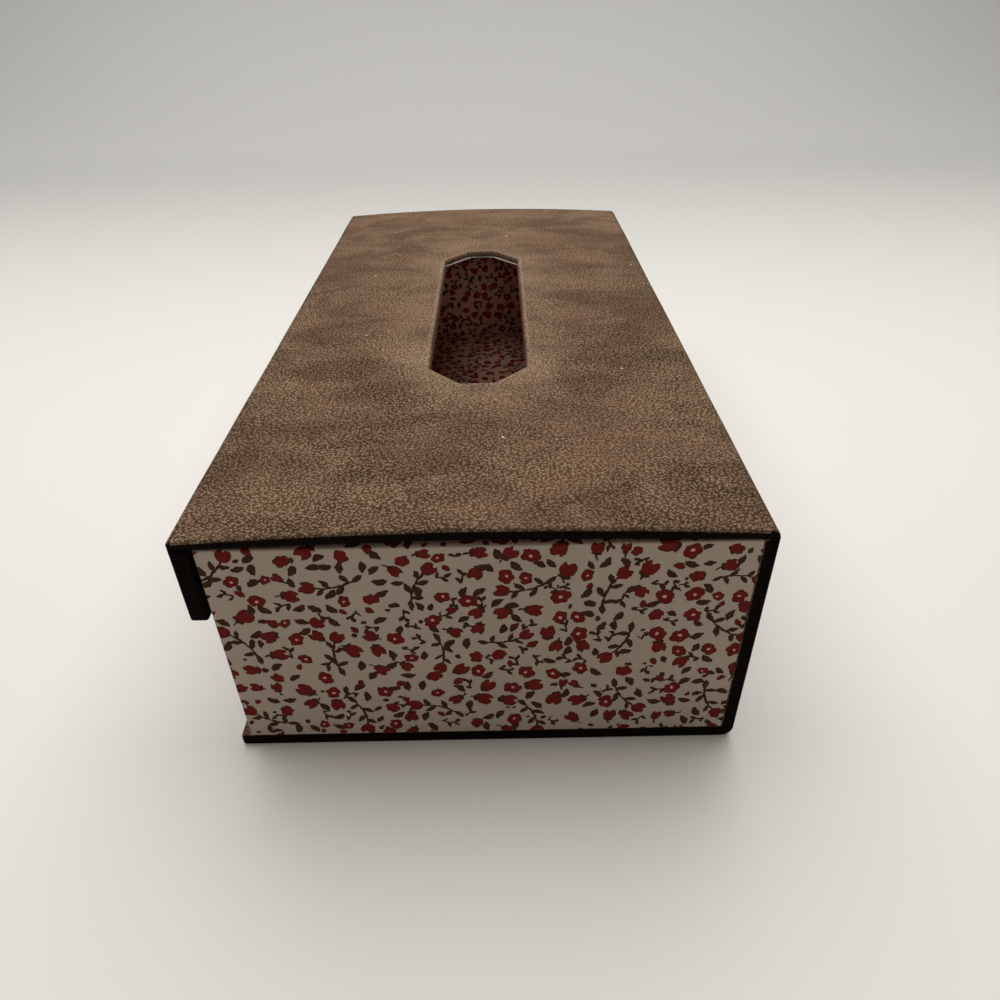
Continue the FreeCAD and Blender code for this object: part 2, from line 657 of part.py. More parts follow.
def make_magnet(label, inner_face, sign):
    """A flat round magnet whose axis runs along X."""
    magnet = document.addObject("Part::Cylinder", label)
    magnet.Label = label
    magnet.setExpression("Radius", f"{size('magnet_diameter')} / 2")
    magnet.setExpression("Height", size("magnet_thickness"))
    magnet.Placement.Rotation = FreeCAD.Rotation(FreeCAD.Vector(0, 1, 0), 90)
    magnet.setExpression("Placement.Base.x", inner_face)
    magnet.setExpression("Placement.Base.y", f"{sign}{size('magnet_spacing')} / 2")
    magnet.setExpression("Placement.Base.z", MAGNET_LEVEL)
    return keep(magnet)


def make_magnets():
    """One pair sunk in the flap board and one in the tray's side, facing each other."""
    in_flap = f"{FLAP_BOARD_INSIDE} - {size('magnet_thickness')}"
    for end, sign in (("front", "-"), ("back", "")):
        make_magnet(f"flap_{end}_magnet", in_flap, sign)
        make_magnet(f"tray_{end}_magnet", WALL_LEFT, sign)


def write_pieces():
    """Checks the document and writes one file per piece."""
    document.recompute()
    for thing in document.Objects:
        if "Invalid" in thing.State or "Error" in thing.State:
            raise RuntimeError(f"{thing.Name} failed: {thing.State}")
    os.makedirs("parts", exist_ok=True)
    for piece in nodes:
        shape = piece.Shape
        if shape.isNull() or not shape.isValid() or len(shape.Solids) != 1:
            raise RuntimeError(f"{piece.Label} is not one valid solid")
        shape.exportStep(f"parts/{piece.Label}.step")
        print(piece.Label, round(shape.Volume, 2), len(shape.Faces))


make_base()
make_spine()
make_lid()
make_flap()
make_fold("lid_hinge_leather", LID_RIGHT, SPINE_FOLD_TOP, size("corner_radius"), 0)
make_fold("flap_hinge_leather", LID_LEFT, FLAP_FOLD_TOP, size("flap_fold_radius"), 1)
make_tray_boards()
make_tray_papers()
make_magnets()
write_pieces()
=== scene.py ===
"""A book-style tissue box in mottled leather, with a tray papered in a small floral print."""

import math

import bpy
import numpy as np
from mathutils import Matrix, Vector


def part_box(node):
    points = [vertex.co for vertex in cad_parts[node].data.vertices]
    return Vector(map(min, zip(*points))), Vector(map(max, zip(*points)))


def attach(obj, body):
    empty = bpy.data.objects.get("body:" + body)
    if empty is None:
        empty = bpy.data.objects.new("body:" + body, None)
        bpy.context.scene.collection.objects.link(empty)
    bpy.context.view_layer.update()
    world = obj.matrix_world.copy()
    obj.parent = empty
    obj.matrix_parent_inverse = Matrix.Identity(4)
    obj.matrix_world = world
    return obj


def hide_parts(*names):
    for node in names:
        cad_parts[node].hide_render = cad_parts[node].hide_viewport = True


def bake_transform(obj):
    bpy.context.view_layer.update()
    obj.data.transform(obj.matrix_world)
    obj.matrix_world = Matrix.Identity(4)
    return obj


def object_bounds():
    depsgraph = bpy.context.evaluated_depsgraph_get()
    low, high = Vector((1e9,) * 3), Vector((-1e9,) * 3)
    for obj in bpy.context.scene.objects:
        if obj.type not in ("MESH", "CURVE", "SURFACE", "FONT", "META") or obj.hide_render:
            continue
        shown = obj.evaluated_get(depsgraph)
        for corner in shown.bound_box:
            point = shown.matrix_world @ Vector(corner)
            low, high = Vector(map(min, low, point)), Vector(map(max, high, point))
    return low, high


bl_info = {
    "name": "Leather tissue box",
    "version": (1, 0, 0),
    "blender": (4, 5, 0),
    "location": "View3D > Sidebar > Tissue Box",
    "description": "Dresses a hinged-lid tissue box in leather, printed paper and board",
    "category": "Object",
}

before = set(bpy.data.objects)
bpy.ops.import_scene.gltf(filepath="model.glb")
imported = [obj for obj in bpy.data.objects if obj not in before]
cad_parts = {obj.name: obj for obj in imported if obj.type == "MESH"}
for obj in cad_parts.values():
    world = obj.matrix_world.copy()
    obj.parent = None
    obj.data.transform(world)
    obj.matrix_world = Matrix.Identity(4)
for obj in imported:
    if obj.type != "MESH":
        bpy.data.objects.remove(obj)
CAD_CORNERS = [list(corner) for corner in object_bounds()]

MM = 0.001
PER_METRE = 1000.0
CASE = "case"
LID = "lid"
FLAP = "flap"


# ---------------------------------------------------------------------------------------------------------
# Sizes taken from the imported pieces
# ---------------------------------------------------------------------------------------------------------


def span(node, axis):
    """The lowest and highest place of a node along one axis, in millimetres."""
    low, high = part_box(node)
    return low[axis] * PER_METRE, high[axis] * PER_METRE


def measure_case():
    """Named places of the case, in millimetres, read from the nodes that the coverings stand for."""
    lid_left, lid_right = span("lid_cover", 0)
    flap_left, flap_right = span("flap_cover", 0)
    flap_bottom = span("flap_cover", 2)[0]
    flap_board_top = span("flap_board", 2)[1]
    base_left, outside = span("base_cover", 0)
    spine_inside = span("spine_cover", 0)[0]
    return {
        "half_length": span("lid_cover", 1)[1],
        "lid_left": lid_left,
        "lid_right": lid_right,
        "apex": span("lid_cover", 2)[1],
        "flap_outside": flap_left,
        "flap_inside": flap_right,
        "flap_bottom": flap_bottom,
        "flap_top": flap_board_top,
        "flap_fold_bottom": span("flap_hinge_leather", 2)[0],
        "lid_fold_bottom": span("lid_hinge_leather", 2)[0],
        "base_left": base_left,
        "outside": outside,
        "base_top": span("tray_wrap", 2)[0],
        "rim": span("tray_wrap", 2)[1],
        "spine_inside": spine_inside,
    }


PLACE = measure_case()


# ---------------------------------------------------------------------------------------------------------
# Sizes and colours that a user would change
# ---------------------------------------------------------------------------------------------------------


def length_property(name, description, default_mm):
    """A length that is shown in the scene's units; the default is given in millimetres."""
    return bpy.props.FloatProperty(
        name=name, description=description, default=default_mm * MM, min=0.0, unit="LENGTH", precision=5
    )


def angle_property(name, description, default):
    """An angle in radians, shown in degrees."""
    return bpy.props.FloatProperty(name=name, description=description, default=default, subtype="ANGLE")


def colour_property(name, description, default):
    """A colour without alpha."""
    return bpy.props.FloatVectorProperty(
        name=name, description=description, default=default, size=3, min=0.0, max=1.0, subtype="COLOR"
    )


class LeatherSettings(bpy.types.PropertyGroup):
    """The covering leather: how it turns round the boards, and its colours."""

    lid_crown: length_property("Lid crown", "Rise of the lid's middle above its long edges", 2.0)
    lid_thickness: length_property("Covered lid", "Leather, board and leather, without the lining", 2.5)
    edge_round: length_property("Edge round", "Radius of the leather over a board's edge", 0.8)
    opening_round: length_property("Opening round", "Radius of the leather down into the opening", 1.3)
    fold_thickness: length_property("Fold thickness", "Doubled leather in the two folds", 0.9)
    unevenness: length_property("Unevenness", "Greatest hand-made departure from true", 0.09)
    dark: colour_property("Dark leather", "Hollows of the grain and darker clouds", (0.030, 0.0150, 0.0070))
    middle: colour_property("Leather", "Most of the surface", (0.130, 0.069, 0.0345))
    # Rubbed leather: paler grain tops and clouds, partly rubbed and partly painted highlight; it also colours
    # the painted highlights round the opening and along the lid's ends.
    light: colour_property("Rubbed leather", "Lighter clouds and tops of the grain", (0.500, 0.352, 0.236))
    # Burnished edge: painted near-black on the boards' ends, the folds' ends, the lid's rounded ends and the
    # opening's wall; partly the edges' burnish, partly painted shade of these shaded faces.
    burnish_and_shade: colour_property("Burnished edge", "Leather over the boards' edges", (0.0055, 0.0035, 0.0024))


class OpeningSettings(bpy.types.PropertyGroup):
    """The long eight-sided opening in the lid, at the surface of the leather."""

    width: length_property("Width", "Across the lid", 30.0)
    length: length_property("Length", "Along the lid", 126.5)
    flat: length_property("Flat end", "Straight part of each end", 10.0)
    taper: length_property("Taper", "Length over which the opening narrows", 11.0)


class PaperSettings(bpy.types.PropertyGroup):
    """The printed paper, the card and the boards."""

    sprig_cell: length_property("Sprig spacing", "Between long sprigs of the print", 22.0)
    bloom_cell: length_property("Bloom spacing", "Between flower heads of the print", 6.2)
    leaf_cell: length_property("Leaf spacing", "Between single leaves of the print", 3.9)
    # Paper and the inks after it are darker than the real print: painted shade for the tray's shaded outside.
    ground: colour_property("Paper", "Unprinted paper", (0.425, 0.352, 0.288))
    # Lining paper and lining inks: a paler copy of the same paper and print, painted light that lifts the dim
    # inside of the box and the lining cards.
    lining: colour_property("Lining paper", "Unprinted paper inside the box", (0.840, 0.575, 0.440))
    lining_inks: bpy.props.FloatProperty(
        name="Lining inks", description="How much paler the lining paper's inks are", default=3.0, min=0.0
    )
    petal: colour_property("Petals", "Flower heads", (0.135, 0.0110, 0.0085))
    petal_edge: colour_property("Petal edges", "Dark line round the flower heads", (0.050, 0.009, 0.0065))
    leaf: colour_property("Leaves", "Leaves and stems", (0.034, 0.0115, 0.0060))
    leaf_middle: colour_property("Leaf middles", "Paler inside of the leaves", (0.056, 0.0205, 0.0115))
    eye: colour_property("Flower eyes", "Pale middle of some flower heads", (0.640, 0.330, 0.260))
    core: colour_property("Card core", "Cut edge of the lining card", (0.950, 0.890, 0.830))
    glued: colour_property("Glued edge", "Stained cut edge along the opening's sides", (0.100, 0.052, 0.032))
    board: colour_property("Grey board", "Bare board", (0.300, 0.265, 0.220))


class StageSettings(bpy.types.PropertyGroup):
    """The floor, the light and the camera."""

    camera_x: length_property("Camera right", "Camera from the middle of the box, to the right", 6.2)
    camera_back: length_property("Camera back", "Camera in front of the middle of the box", 261.25)
    camera_height: length_property("Camera height", "Camera above the floor", 168.2)
    yaw: angle_property("Yaw", "Turn to the right", -0.0016)
    pitch: angle_property("Pitch", "Tilt down", 0.6127)
    roll: angle_property("Roll", "Turn about the view", 0.0206)
    lens: bpy.props.FloatProperty(
        name="Lens", description="Focal length for a 36 mm sensor", default=26.84, unit="CAMERA"
    )
    floor: colour_property("Floor", "Sweep under and before the box", (0.84, 0.825, 0.785))
    # Backdrop: the sweep darkens to this towards the back, painted shade where the light falls off.
    shaded_backdrop: colour_property("Backdrop", "Sweep far behind the box", (0.40, 0.395, 0.375))


# ---------------------------------------------------------------------------------------------------------
# Surfaces. All lengths in this part are millimetres.
# ---------------------------------------------------------------------------------------------------------

# Between two rows of a long surface, between its rounded end and the first row after it, and between an arc
# and the point that keeps the flat beside it flat
ROW_SPACING = 2.2
BESIDE_END = 0.3
BESIDE_ARC = 0.05

# Points on an outline's arc, rows on a rounded end and points across a fold
ARC_POINTS = 6
END_ROWS = 7
FOLD_POINTS = 15

# Radii of a cut or creased corner and of a soft one, and how much thicker the skin gets under a fold
CRISP = 0.02
SOFT = 0.3
SKIN_STEP = 0.1

# How far under a fold, and how close to the outer or the inner face, the section belongs to the joint
JOINT_REACH = 0.4
FACE_REACH = 0.45

# At the least, how much of a fold's radius is left inside its leather and where its ends are rounded
HOLLOW_LEFT = 0.25
ROUND_LEFT = 0.3

# A fold's inside starts to close this far before the ends, over this length, and down to this radius
CLOSING_BEFORE_END = 2.6
CLOSING_LENGTH = 1.4
CLOSED_RADIUS = 0.2


def uneven(points, amount):
    """Adds slow waves to points in millimetres: each coordinate moves by a sum of sines of the place.

    What would leave the whole object's box stays on its side.
    """
    x, y, z = np.moveaxis(points, -1, 0)
    waves = (
        np.sin(y / 17.0 + x / 29.0) * 0.5 + np.sin(y / 7.3 - z / 11.0 + 1.3) * 0.3,
        np.sin(x / 13.0 + z / 9.0 + 0.4) * 0.5 + np.sin(x / 5.1 + y / 31.0) * 0.3,
        np.sin(x / 19.0 - y / 23.0 + 2.0) * 0.5 + np.sin(x / 6.7 + y / 9.0) * 0.25,
    )
    low, high = np.asarray(CAD_CORNERS) * PER_METRE
    return np.clip(points + amount * np.stack(waves, axis=-1), low, high)


def mesh_from_grid(name, points, close_rows=False, caps=False):
    """A mesh from a grid of points in millimetres, shaped (rows, columns, 3), whose columns close up.

    close_rows joins the last row to the first, and caps closes the two end rows with one face each.
    """
    rows, columns = points.shape[:2]
    index = np.arange(rows * columns).reshape(rows, columns)
    below = index if close_rows else index[:-1]
    above = np.roll(index, -1, axis=0) if close_rows else index[1:]
    quads = np.stack(
        [below, np.roll(below, -1, axis=1), np.roll(above, -1, axis=1), above], axis=-1
    ).reshape(-1, 4)
    faces = quads.tolist()
    if caps:
        faces.append(index[0, ::-1].tolist())
        faces.append(index[-1].tolist())
    mesh = bpy.data.meshes.new(name)
    mesh.from_pydata((points.reshape(-1, 3) * MM).tolist(), [], faces)
    mesh.update()
    mesh.shade_smooth()
    piece = bpy.data.objects.new(name, mesh)
    bpy.context.scene.collection.objects.link(piece)
    turn_outwards(mesh)
    return piece


def turn_outwards(mesh):
    """Turns every face round if the closed surface's signed volume says that it is inside out."""
    corners = np.empty(len(mesh.vertices) * 3)
    mesh.vertices.foreach_get("co", corners)
    corners = corners.reshape(-1, 3)
    mesh.calc_loop_triangles()
    triangles = np.empty(len(mesh.loop_triangles) * 3, dtype=np.int64)
    mesh.loop_triangles.foreach_get("vertices", triangles)
    a, b, c = np.moveaxis(corners[triangles.reshape(-1, 3)], 1, 0)
    if np.einsum("ij,ij->i", a, np.cross(b, c)).sum() < 0:
        mesh.flip_normals()


def rounded_outline(corners, radii):
    """A closed outline with an arc at each corner, and a point just outside each arc to keep flats flat.

    At a corner the arc's two ends lie radius / tan(half the corner's angle) from it, and its points are the
    ends' directions from the arc's centre, turned evenly from one to the other.
    """
    places = np.asarray(corners, float)
    outline = []
    for i, radius in enumerate(radii):
        corner = places[i]
        back = places[i - 1] - corner
        ahead = places[(i + 1) % len(places)] - corner
        back /= np.linalg.norm(back)
        ahead /= np.linalg.norm(ahead)
        half = math.acos(np.clip(back @ ahead, -1, 1)) / 2
        reach = radius / math.tan(half)
        middle = corner + (back + ahead) / np.linalg.norm(back + ahead) * radius / math.sin(half)
        start = corner + back * reach - middle
        stop = corner + ahead * reach - middle
        share = np.linspace(0, 1, ARC_POINTS)[:, None]
        turned = start * (1 - share) + stop * share
        turned *= radius / np.linalg.norm(turned, axis=1, keepdims=True)
        outline.append((corner + back * (reach + BESIDE_ARC))[None])
        outline.append(middle + turned)
        outline.append((corner + ahead * (reach + BESIDE_ARC))[None])
    return np.concatenate(outline)


def outline_normals(outline):
    """Unit normals of a closed outline that runs counter-clockwise, pointing out of it."""
    along = np.roll(outline, -1, axis=0) - np.roll(outline, 1, axis=0)
    along /= np.linalg.norm(along, axis=1, keepdims=True)
    return np.stack([along[:, 1], -along[:, 0]], axis=1)


def end_stations(radius):
    """Places along Y and how far the section draws in there: a quarter circle at each end, then none.

    At an end the section lies radius * (1 - sin a) short of it and drawn in by radius * (1 - cos a), with a
    from 90 degrees back to 0.
    """
    half_length = PLACE["half_length"]
    angle = np.linspace(math.pi / 2, 0, END_ROWS)
    end_y = half_length - radius * (1 - np.sin(angle))
    end_inset = radius * (1 - np.cos(angle))
    count = int(2 * half_length / ROW_SPACING)
    last = half_length - radius - BESIDE_END
    middle = np.linspace(-last, last, count)
    y = np.concatenate([-end_y, middle, end_y[::-1]])
    inset = np.concatenate([end_inset, np.zeros(count), end_inset[::-1]])
    return y, inset


def carry_outline(name, outline, radius, leather, joint):
    """Carries a closed XZ outline along Y with rounded ends and closes it.

    Row by row the outline moves in along its normals by the end's inset. The joint is the outer and the inner
    face and the height where a fold begins: from just under it only those two faces move, and only sideways,
    so that the joint is closed to the ends.
    """
    y, inset = end_stations(radius)
    normals = outline_normals(outline)
    outside, inside, height = joint
    meets = outline[:, 1] > height - JOINT_REACH
    normals[meets] = 0.0
    outwards = math.copysign(1.0, outside)
    normals[meets & (np.abs(outline[:, 0] - outside) < FACE_REACH), 0] = outwards
    normals[meets & (np.abs(outline[:, 0] - inside) < FACE_REACH), 0] = -outwards
    section = outline[None] - normals[None] * inset[:, None, None]
    return mesh_from_grid(name, along_box(section, y, leather), caps=True)


def along_box(section, y, leather):
    """Grid points from XZ sections at places along Y, shaped (places, section points, 2), made uneven."""
    along = np.repeat(y[:, None], section.shape[1], axis=1)
    points = np.stack([section[..., 0], along, section[..., 1]], axis=-1)
    return uneven(points, leather.unevenness * PER_METRE)


def fold_surface(centre, radius, start_degrees, leather):
    """A quarter of a tube along Y, as a grid of points.

    Its section is a quarter ring. At the ends the outside draws in by a quarter circle, and the inside closes
    towards the centre over the last stretch, where the leather is turned in.
    """
    thickness = min(leather.fold_thickness * PER_METRE, radius - HOLLOW_LEFT)
    y, inset = end_stations(min(leather.edge_round * PER_METRE, radius - ROUND_LEFT))
    closing = PLACE["half_length"] - CLOSING_BEFORE_END
    turned_in = np.clip((np.abs(y) - closing) / CLOSING_LENGTH, 0, 1)
    inner_radius = (radius - thickness) * (1 - turned_in) + CLOSED_RADIUS * turned_in
    angle = np.radians(start_degrees + np.linspace(0, 90, FOLD_POINTS))
    spokes = np.stack([np.cos(angle), np.sin(angle)], axis=1)
    outer = spokes[None] * (radius - inset)[:, None, None]
    inner = spokes[None, ::-1] * inner_radius[:, None, None]
    section = np.concatenate([outer, inner], axis=1) + np.asarray(centre)
    return along_box(section, y, leather)


# ---------------------------------------------------------------------------------------------------------
# The lid's shape
# ---------------------------------------------------------------------------------------------------------

# How tight the corners are: slightly rounded in the opening, sharp in the lid's outline
OPENING_SHARPNESS = 160.0
OUTLINE_SHARPNESS = 2500.0

# The leather under the lid: how far it is carried in, the radius of its lower edge, and how much lower that
# edge hangs in the middle of the two ends
TURN_IN = 4.0
UNDER_ROUND = 0.8
END_DROP = 0.9

# The ring half way down the lid's ends: how far it lies under half the thickness, and how much lower it
# hangs in the middle of an end
HALF_WAY_UNDER = 0.1
HALF_WAY_DROP = 0.35

# How far in from the ends the leather under the lid is level again
LEVEL_UNDER = 1.9

# The opening's lower edge: its radius, and how far the middle of that round lies in from the two faces
WALL_ROUND = 0.45
WALL_CORNER = 0.12

# Directions of a ring's points from the middle: how many, how strongly they crowd towards the lid's two ends
# (1 would be even), and how many degrees from each corner there are extra ones
DIRECTIONS = 420
CROWDING = 2.4
BESIDE_CORNER = (-0.5, -0.2, -0.08, 0.0, 0.08, 0.2, 0.5)

# Rings over each rounded edge, and evenly spaced ones across the top. The first even one and the two closer
# ones before it are given as shares of the way from the opening to the lid's edge; the last ones mirror them.
EDGE_RINGS = 9
EVEN_RINGS = 46
FIRST_EVEN_RING = 0.03
CLOSE_RINGS = (0.004, 0.012)


def crown_radius(crown):
    """Radius of the lid's top, an arc that rises by crown over the half width to the spine's fold."""
    return PLACE["lid_right"] ** 2 / (2 * crown) + crown / 2


def crown_height(x, depth, crown):
    """Height at x of the layer that lies depth below the leather's top; all layers have one centre line."""
    radius = crown_radius(crown)
    return PLACE["apex"] - radius + np.sqrt((radius - depth) ** 2 - x**2)


def reach_of_sides(directions, normals, distances, sharpness):
    """How far a convex outline lies from the middle in each direction.

    Each side is distance / (normal . direction) away; the sides are joined by a power mean, so that a higher
    sharpness gives tighter corners.
    """
    facing = np.clip(directions @ normals.T, 1e-9, None) / distances
    largest = facing.max(axis=1, keepdims=True)
    return 1 / (largest[:, 0] * ((facing / largest) ** sharpness).sum(axis=1) ** (1 / sharpness))


def opening_sides(opening):
    """The eight-sided opening's half width and half length, and three numbers for its slanting sides.

    These sides lie where |x| * across + |y| * along = slanting.
    """
    half_width = opening["width"] / 2
    half_length = opening["length"] / 2
    narrowing = half_width - opening["flat"] / 2
    slant = math.hypot(narrowing, opening["taper"])
    across = opening["taper"] / slant
    along = narrowing / slant
    slanting = across * half_width + along * (half_length - opening["taper"])
    return half_width, half_length, across, along, slanting


def opening_reach(directions, opening, growth):
    """The eight-sided opening with every side moved out by growth, all in millimetres."""
    half_width, half_length, across, along, slanting = opening_sides(opening)
    normals = np.array(
        [(1, 0), (-1, 0), (0, 1), (0, -1)] + [(i * across, j * along) for i in (1, -1) for j in (1, -1)]
    )
    distances = np.array([half_width] * 2 + [half_length] * 2 + [slanting] * 4) + growth
    return reach_of_sides(directions, normals, distances, OPENING_SHARPNESS)


def outer_reach(directions, inset):
    """The lid's outer outline with its two ends drawn in by inset, in millimetres."""
    normals = np.array([(1, 0), (-1, 0), (0, 1), (0, -1)], float)
    end = PLACE["half_length"] - inset
    distances = np.array([PLACE["lid_right"], -PLACE["lid_left"], end, end])
    return reach_of_sides(directions, normals, distances, OUTLINE_SHARPNESS)


def ring_directions(opening):
    """Directions from the lid's middle, all the way round, with more at the corners of both outlines."""
    half_width = opening["width"] / 2
    half_length = opening["length"] / 2
    corners = [
        (half_width, half_length - opening["taper"]),
        (opening["flat"] / 2, half_length),
        (PLACE["lid_right"], PLACE["half_length"]),
        (-PLACE["lid_left"], PLACE["half_length"]),
    ]
    sweep = np.linspace(0, 2 * math.pi, DIRECTIONS, endpoint=False)
    crowded = np.arctan2(np.sin(sweep) * CROWDING, np.cos(sweep))
    near = np.radians(BESIDE_CORNER)
    extra = [math.atan2(y * sy, x * sx) + near for x, y in corners for sx in (1, -1) for sy in (1, -1)]
    angles = np.unique(np.round(np.mod(np.concatenate([crowded, *extra]), 2 * math.pi), 6))
    return np.stack([np.cos(angles), np.sin(angles)], axis=1)


def lid_surface(opening, settings):
    """The lid's leather as rings round the opening, shaped (rings, directions, 3).

    From under the lid the rings go up the opening's wall, over its rounded edge, across the bowed top, over
    the rounded ends, down and back underneath. A ring's reach is the opening's or the outer outline's, or a
    share of the way between them, and its height is the crown's at that place, less the ring's depth. The
    turned-in leather at the two ends hangs up to a drop lower in the middle: drop * (1 - (x / half)^2).
    """
    directions = ring_directions(opening)
    thickness = settings.lid_thickness * PER_METRE
    crown = settings.lid_crown * PER_METRE
    lip = settings.opening_round * PER_METRE
    edge = settings.edge_round * PER_METRE
    quarter = np.linspace(0, math.pi / 2, EDGE_RINGS)
    inner = [(TURN_IN, thickness), (WALL_ROUND, thickness), (WALL_CORNER, thickness - WALL_CORNER)]
    inner += [(0.0, thickness - WALL_ROUND), (0.0, (thickness + lip) / 2)]
    inner += [(lip * (1 - math.cos(a)), lip * (1 - math.sin(a))) for a in quarter]
    outer = [(edge * (1 - math.sin(a)), edge * (1 - math.cos(a)), 0.0) for a in quarter]
    outer += [(0.0, thickness / 2 + HALF_WAY_UNDER, HALF_WAY_DROP)]
    outer += [
        (UNDER_ROUND * (1 - math.cos(a)), thickness - UNDER_ROUND * (1 - math.sin(a)), END_DROP)
        for a in quarter[::2]
    ]
    outer += [(LEVEL_UNDER, thickness, 0.0), (TURN_IN, thickness, 0.0)]
    reaches = [(opening_reach(directions, opening, growth), depth, 0.0) for growth, depth in inner]
    start = opening_reach(directions, opening, lip)
    stop = outer_reach(directions, edge)
    even = np.linspace(FIRST_EVEN_RING, 1 - FIRST_EVEN_RING, EVEN_RINGS)
    close = np.array(CLOSE_RINGS)
    shares = np.concatenate([close, even, 1 - close[::-1]])
    reaches += [(start * (1 - share) + stop * share, 0.0, 0.0) for share in shares]
    reaches += [(outer_reach(directions, inset), depth, drop) for inset, depth, drop in outer]
    rings = []
    for reach, depth, drop in reaches:
        flat = directions * reach[:, None]
        x = np.clip(flat[:, 0], PLACE["lid_left"], PLACE["lid_right"])
        lower = drop * np.clip(1 - (x / PLACE["lid_right"]) ** 2, 0, 1)
        rings.append(np.stack([x, flat[:, 1], crown_height(x, depth, crown) - lower], axis=-1))
    return np.stack(rings)


def in_millimetres(group):
    """The opening's four sizes as plain numbers in millimetres."""
    return {key: getattr(group, key) * PER_METRE for key in ("width", "length", "flat", "taper")}


# ---------------------------------------------------------------------------------------------------------
# Node wiring
# ---------------------------------------------------------------------------------------------------------


class Wire:
    """A number or vector on its way through a node tree; arithmetic on wires adds the nodes that do it."""

    def __init__(self, tree, socket):
        self.tree = tree
        self.socket = socket

    def math(self, operation, *others):
        """One of the Math node's operations on this number and others."""
        node = self.tree.nodes.new("ShaderNodeMath")
        node.operation = operation
        for socket, value in zip(node.inputs, (self, *others)):
            feed(self.tree, socket, value)
        return Wire(self.tree, node.outputs[0])

    def vector(self, operation, other=None, scale=None):
        """One of the Vector Math node's operations on this vector."""
        node = self.tree.nodes.new("ShaderNodeVectorMath")
        node.operation = operation
        feed(self.tree, node.inputs[0], self)
        if other is not None:
            feed(self.tree, node.inputs[1], other)
        if scale is not None:
            feed(self.tree, node.inputs["Scale"], scale)
        output = "Value" if operation in ("LENGTH", "DISTANCE", "DOT_PRODUCT") else "Vector"
        return Wire(self.tree, node.outputs[output])

    def scaled(self, factor):
        """The vector times a number."""
        return self.vector("SCALE", scale=factor)

    def stretched(self, *factors):
        """The vector with each coordinate times its own factor."""
        return self.vector("MULTIPLY", factors)

    def shifted(self, *offset):
        """The vector moved by an offset."""
        return self.vector("ADD", offset)

    def parts(self):
        """The vector's three coordinates."""
        node = self.tree.nodes.new("ShaderNodeSeparateXYZ")
        feed(self.tree, node.inputs[0], self)
        return [Wire(self.tree, output) for output in node.outputs]

    def millimetres(self):
        """The three coordinates of a place that is in metres, in millimetres."""
        return self.scaled(PER_METRE).parts()

    def squared(self):
        """The number times itself."""
        return self.math("MULTIPLY", self)

    def __add__(self, other):
        return self.math("ADD", other)

    def __sub__(self, other):
        return self.math("SUBTRACT", other)

    def __rsub__(self, other):
        return constant(self.tree, other).math("SUBTRACT", self)

    def __mul__(self, other):
        return self.math("MULTIPLY", other)

    def __truediv__(self, other):
        return self.math("DIVIDE", other)

    def __abs__(self):
        return self.math("ABSOLUTE")

    def below(self, limit):
        """1 where the value is under the limit, otherwise 0."""
        return self.math("LESS_THAN", limit)

    def above(self, limit):
        """1 where the value is over the limit, otherwise 0."""
        return self.math("GREATER_THAN", limit)

    def smallest(self, other):
        """The smaller of two numbers."""
        return self.math("MINIMUM", other)

    def largest(self, other):
        """The larger of two numbers."""
        return self.math("MAXIMUM", other)

    def ramp(self, low, high, smooth=True):
        """0 at low and under, 1 at high and over, and a smooth or straight way between."""
        node = self.tree.nodes.new("ShaderNodeMapRange")
        node.interpolation_type = "SMOOTHSTEP" if smooth else "LINEAR"
        feed(self.tree, node.inputs["Value"], self)
        node.inputs["From Min"].default_value = low
        node.inputs["From Max"].default_value = high
        return Wire(self.tree, node.outputs["Result"])


def constant(tree, number):
    """A fixed number as a wire."""
    node = tree.nodes.new("ShaderNodeValue")
    node.outputs[0].default_value = number
    return Wire(tree, node.outputs[0])


def feed(tree, socket, value):
    """Joins a wire to a socket, or sets the socket to a plain value."""
    if isinstance(value, Wire):
        tree.links.new(value.socket, socket)
    elif isinstance(value, (tuple, list)) and socket.type == "RGBA":
        socket.default_value = (*value[:3], 1.0)
    else:
        socket.default_value = value


def put(tree, node, **values):
    """Feeds a node's sockets by name; an underscore stands for a space."""
    for label, value in values.items():
        feed(tree, node.inputs[label.replace("_", " ")], value)


def join(tree, x, y):
    """A flat vector from two wires."""
    node = tree.nodes.new("ShaderNodeCombineXYZ")
    put(tree, node, X=x, Y=y)
    return Wire(tree, node.outputs[0])


def blend_colours(tree, share, first, second):
    """The first colour where share is 0 and the second where it is 1."""
    node = tree.nodes.new("ShaderNodeMix")
    node.data_type = "RGBA"
    put(tree, node, Factor=share, A=first, B=second)
    return Wire(tree, node.outputs["Result"])


def noise(tree, place, scale, detail=2.0, roughness=0.5, distortion=0.0):
    """Soft noise from 0 to 1 at a place."""
    node = tree.nodes.new("ShaderNodeTexNoise")
    put(tree, node, Vector=place, Scale=scale, Detail=detail, Roughness=roughness, Distortion=distortion)
    return Wire(tree, node.outputs["Fac"])


def drift(tree, place, scale, detail, amount):
    """A soft random offset of up to half the amount each way."""
    node = tree.nodes.new("ShaderNodeTexNoise")
    put(tree, node, Vector=place, Scale=scale, Detail=detail)
    return Wire(tree, node.outputs["Color"]).shifted(-0.5, -0.5, -0.5).scaled(amount)


def scattered_points(tree, place, scale, dimensions="2D", randomness=1.0, feature="F1"):
    """One point in each cell of a jittered grid, on a sheet or in space; returns what the node puts out."""
    node = tree.nodes.new("ShaderNodeTexVoronoi")
    node.voronoi_dimensions = dimensions
    node.feature = feature
    put(tree, node, Vector=place, Scale=scale, Randomness=randomness)
    return {output.name: Wire(tree, output) for output in node.outputs}


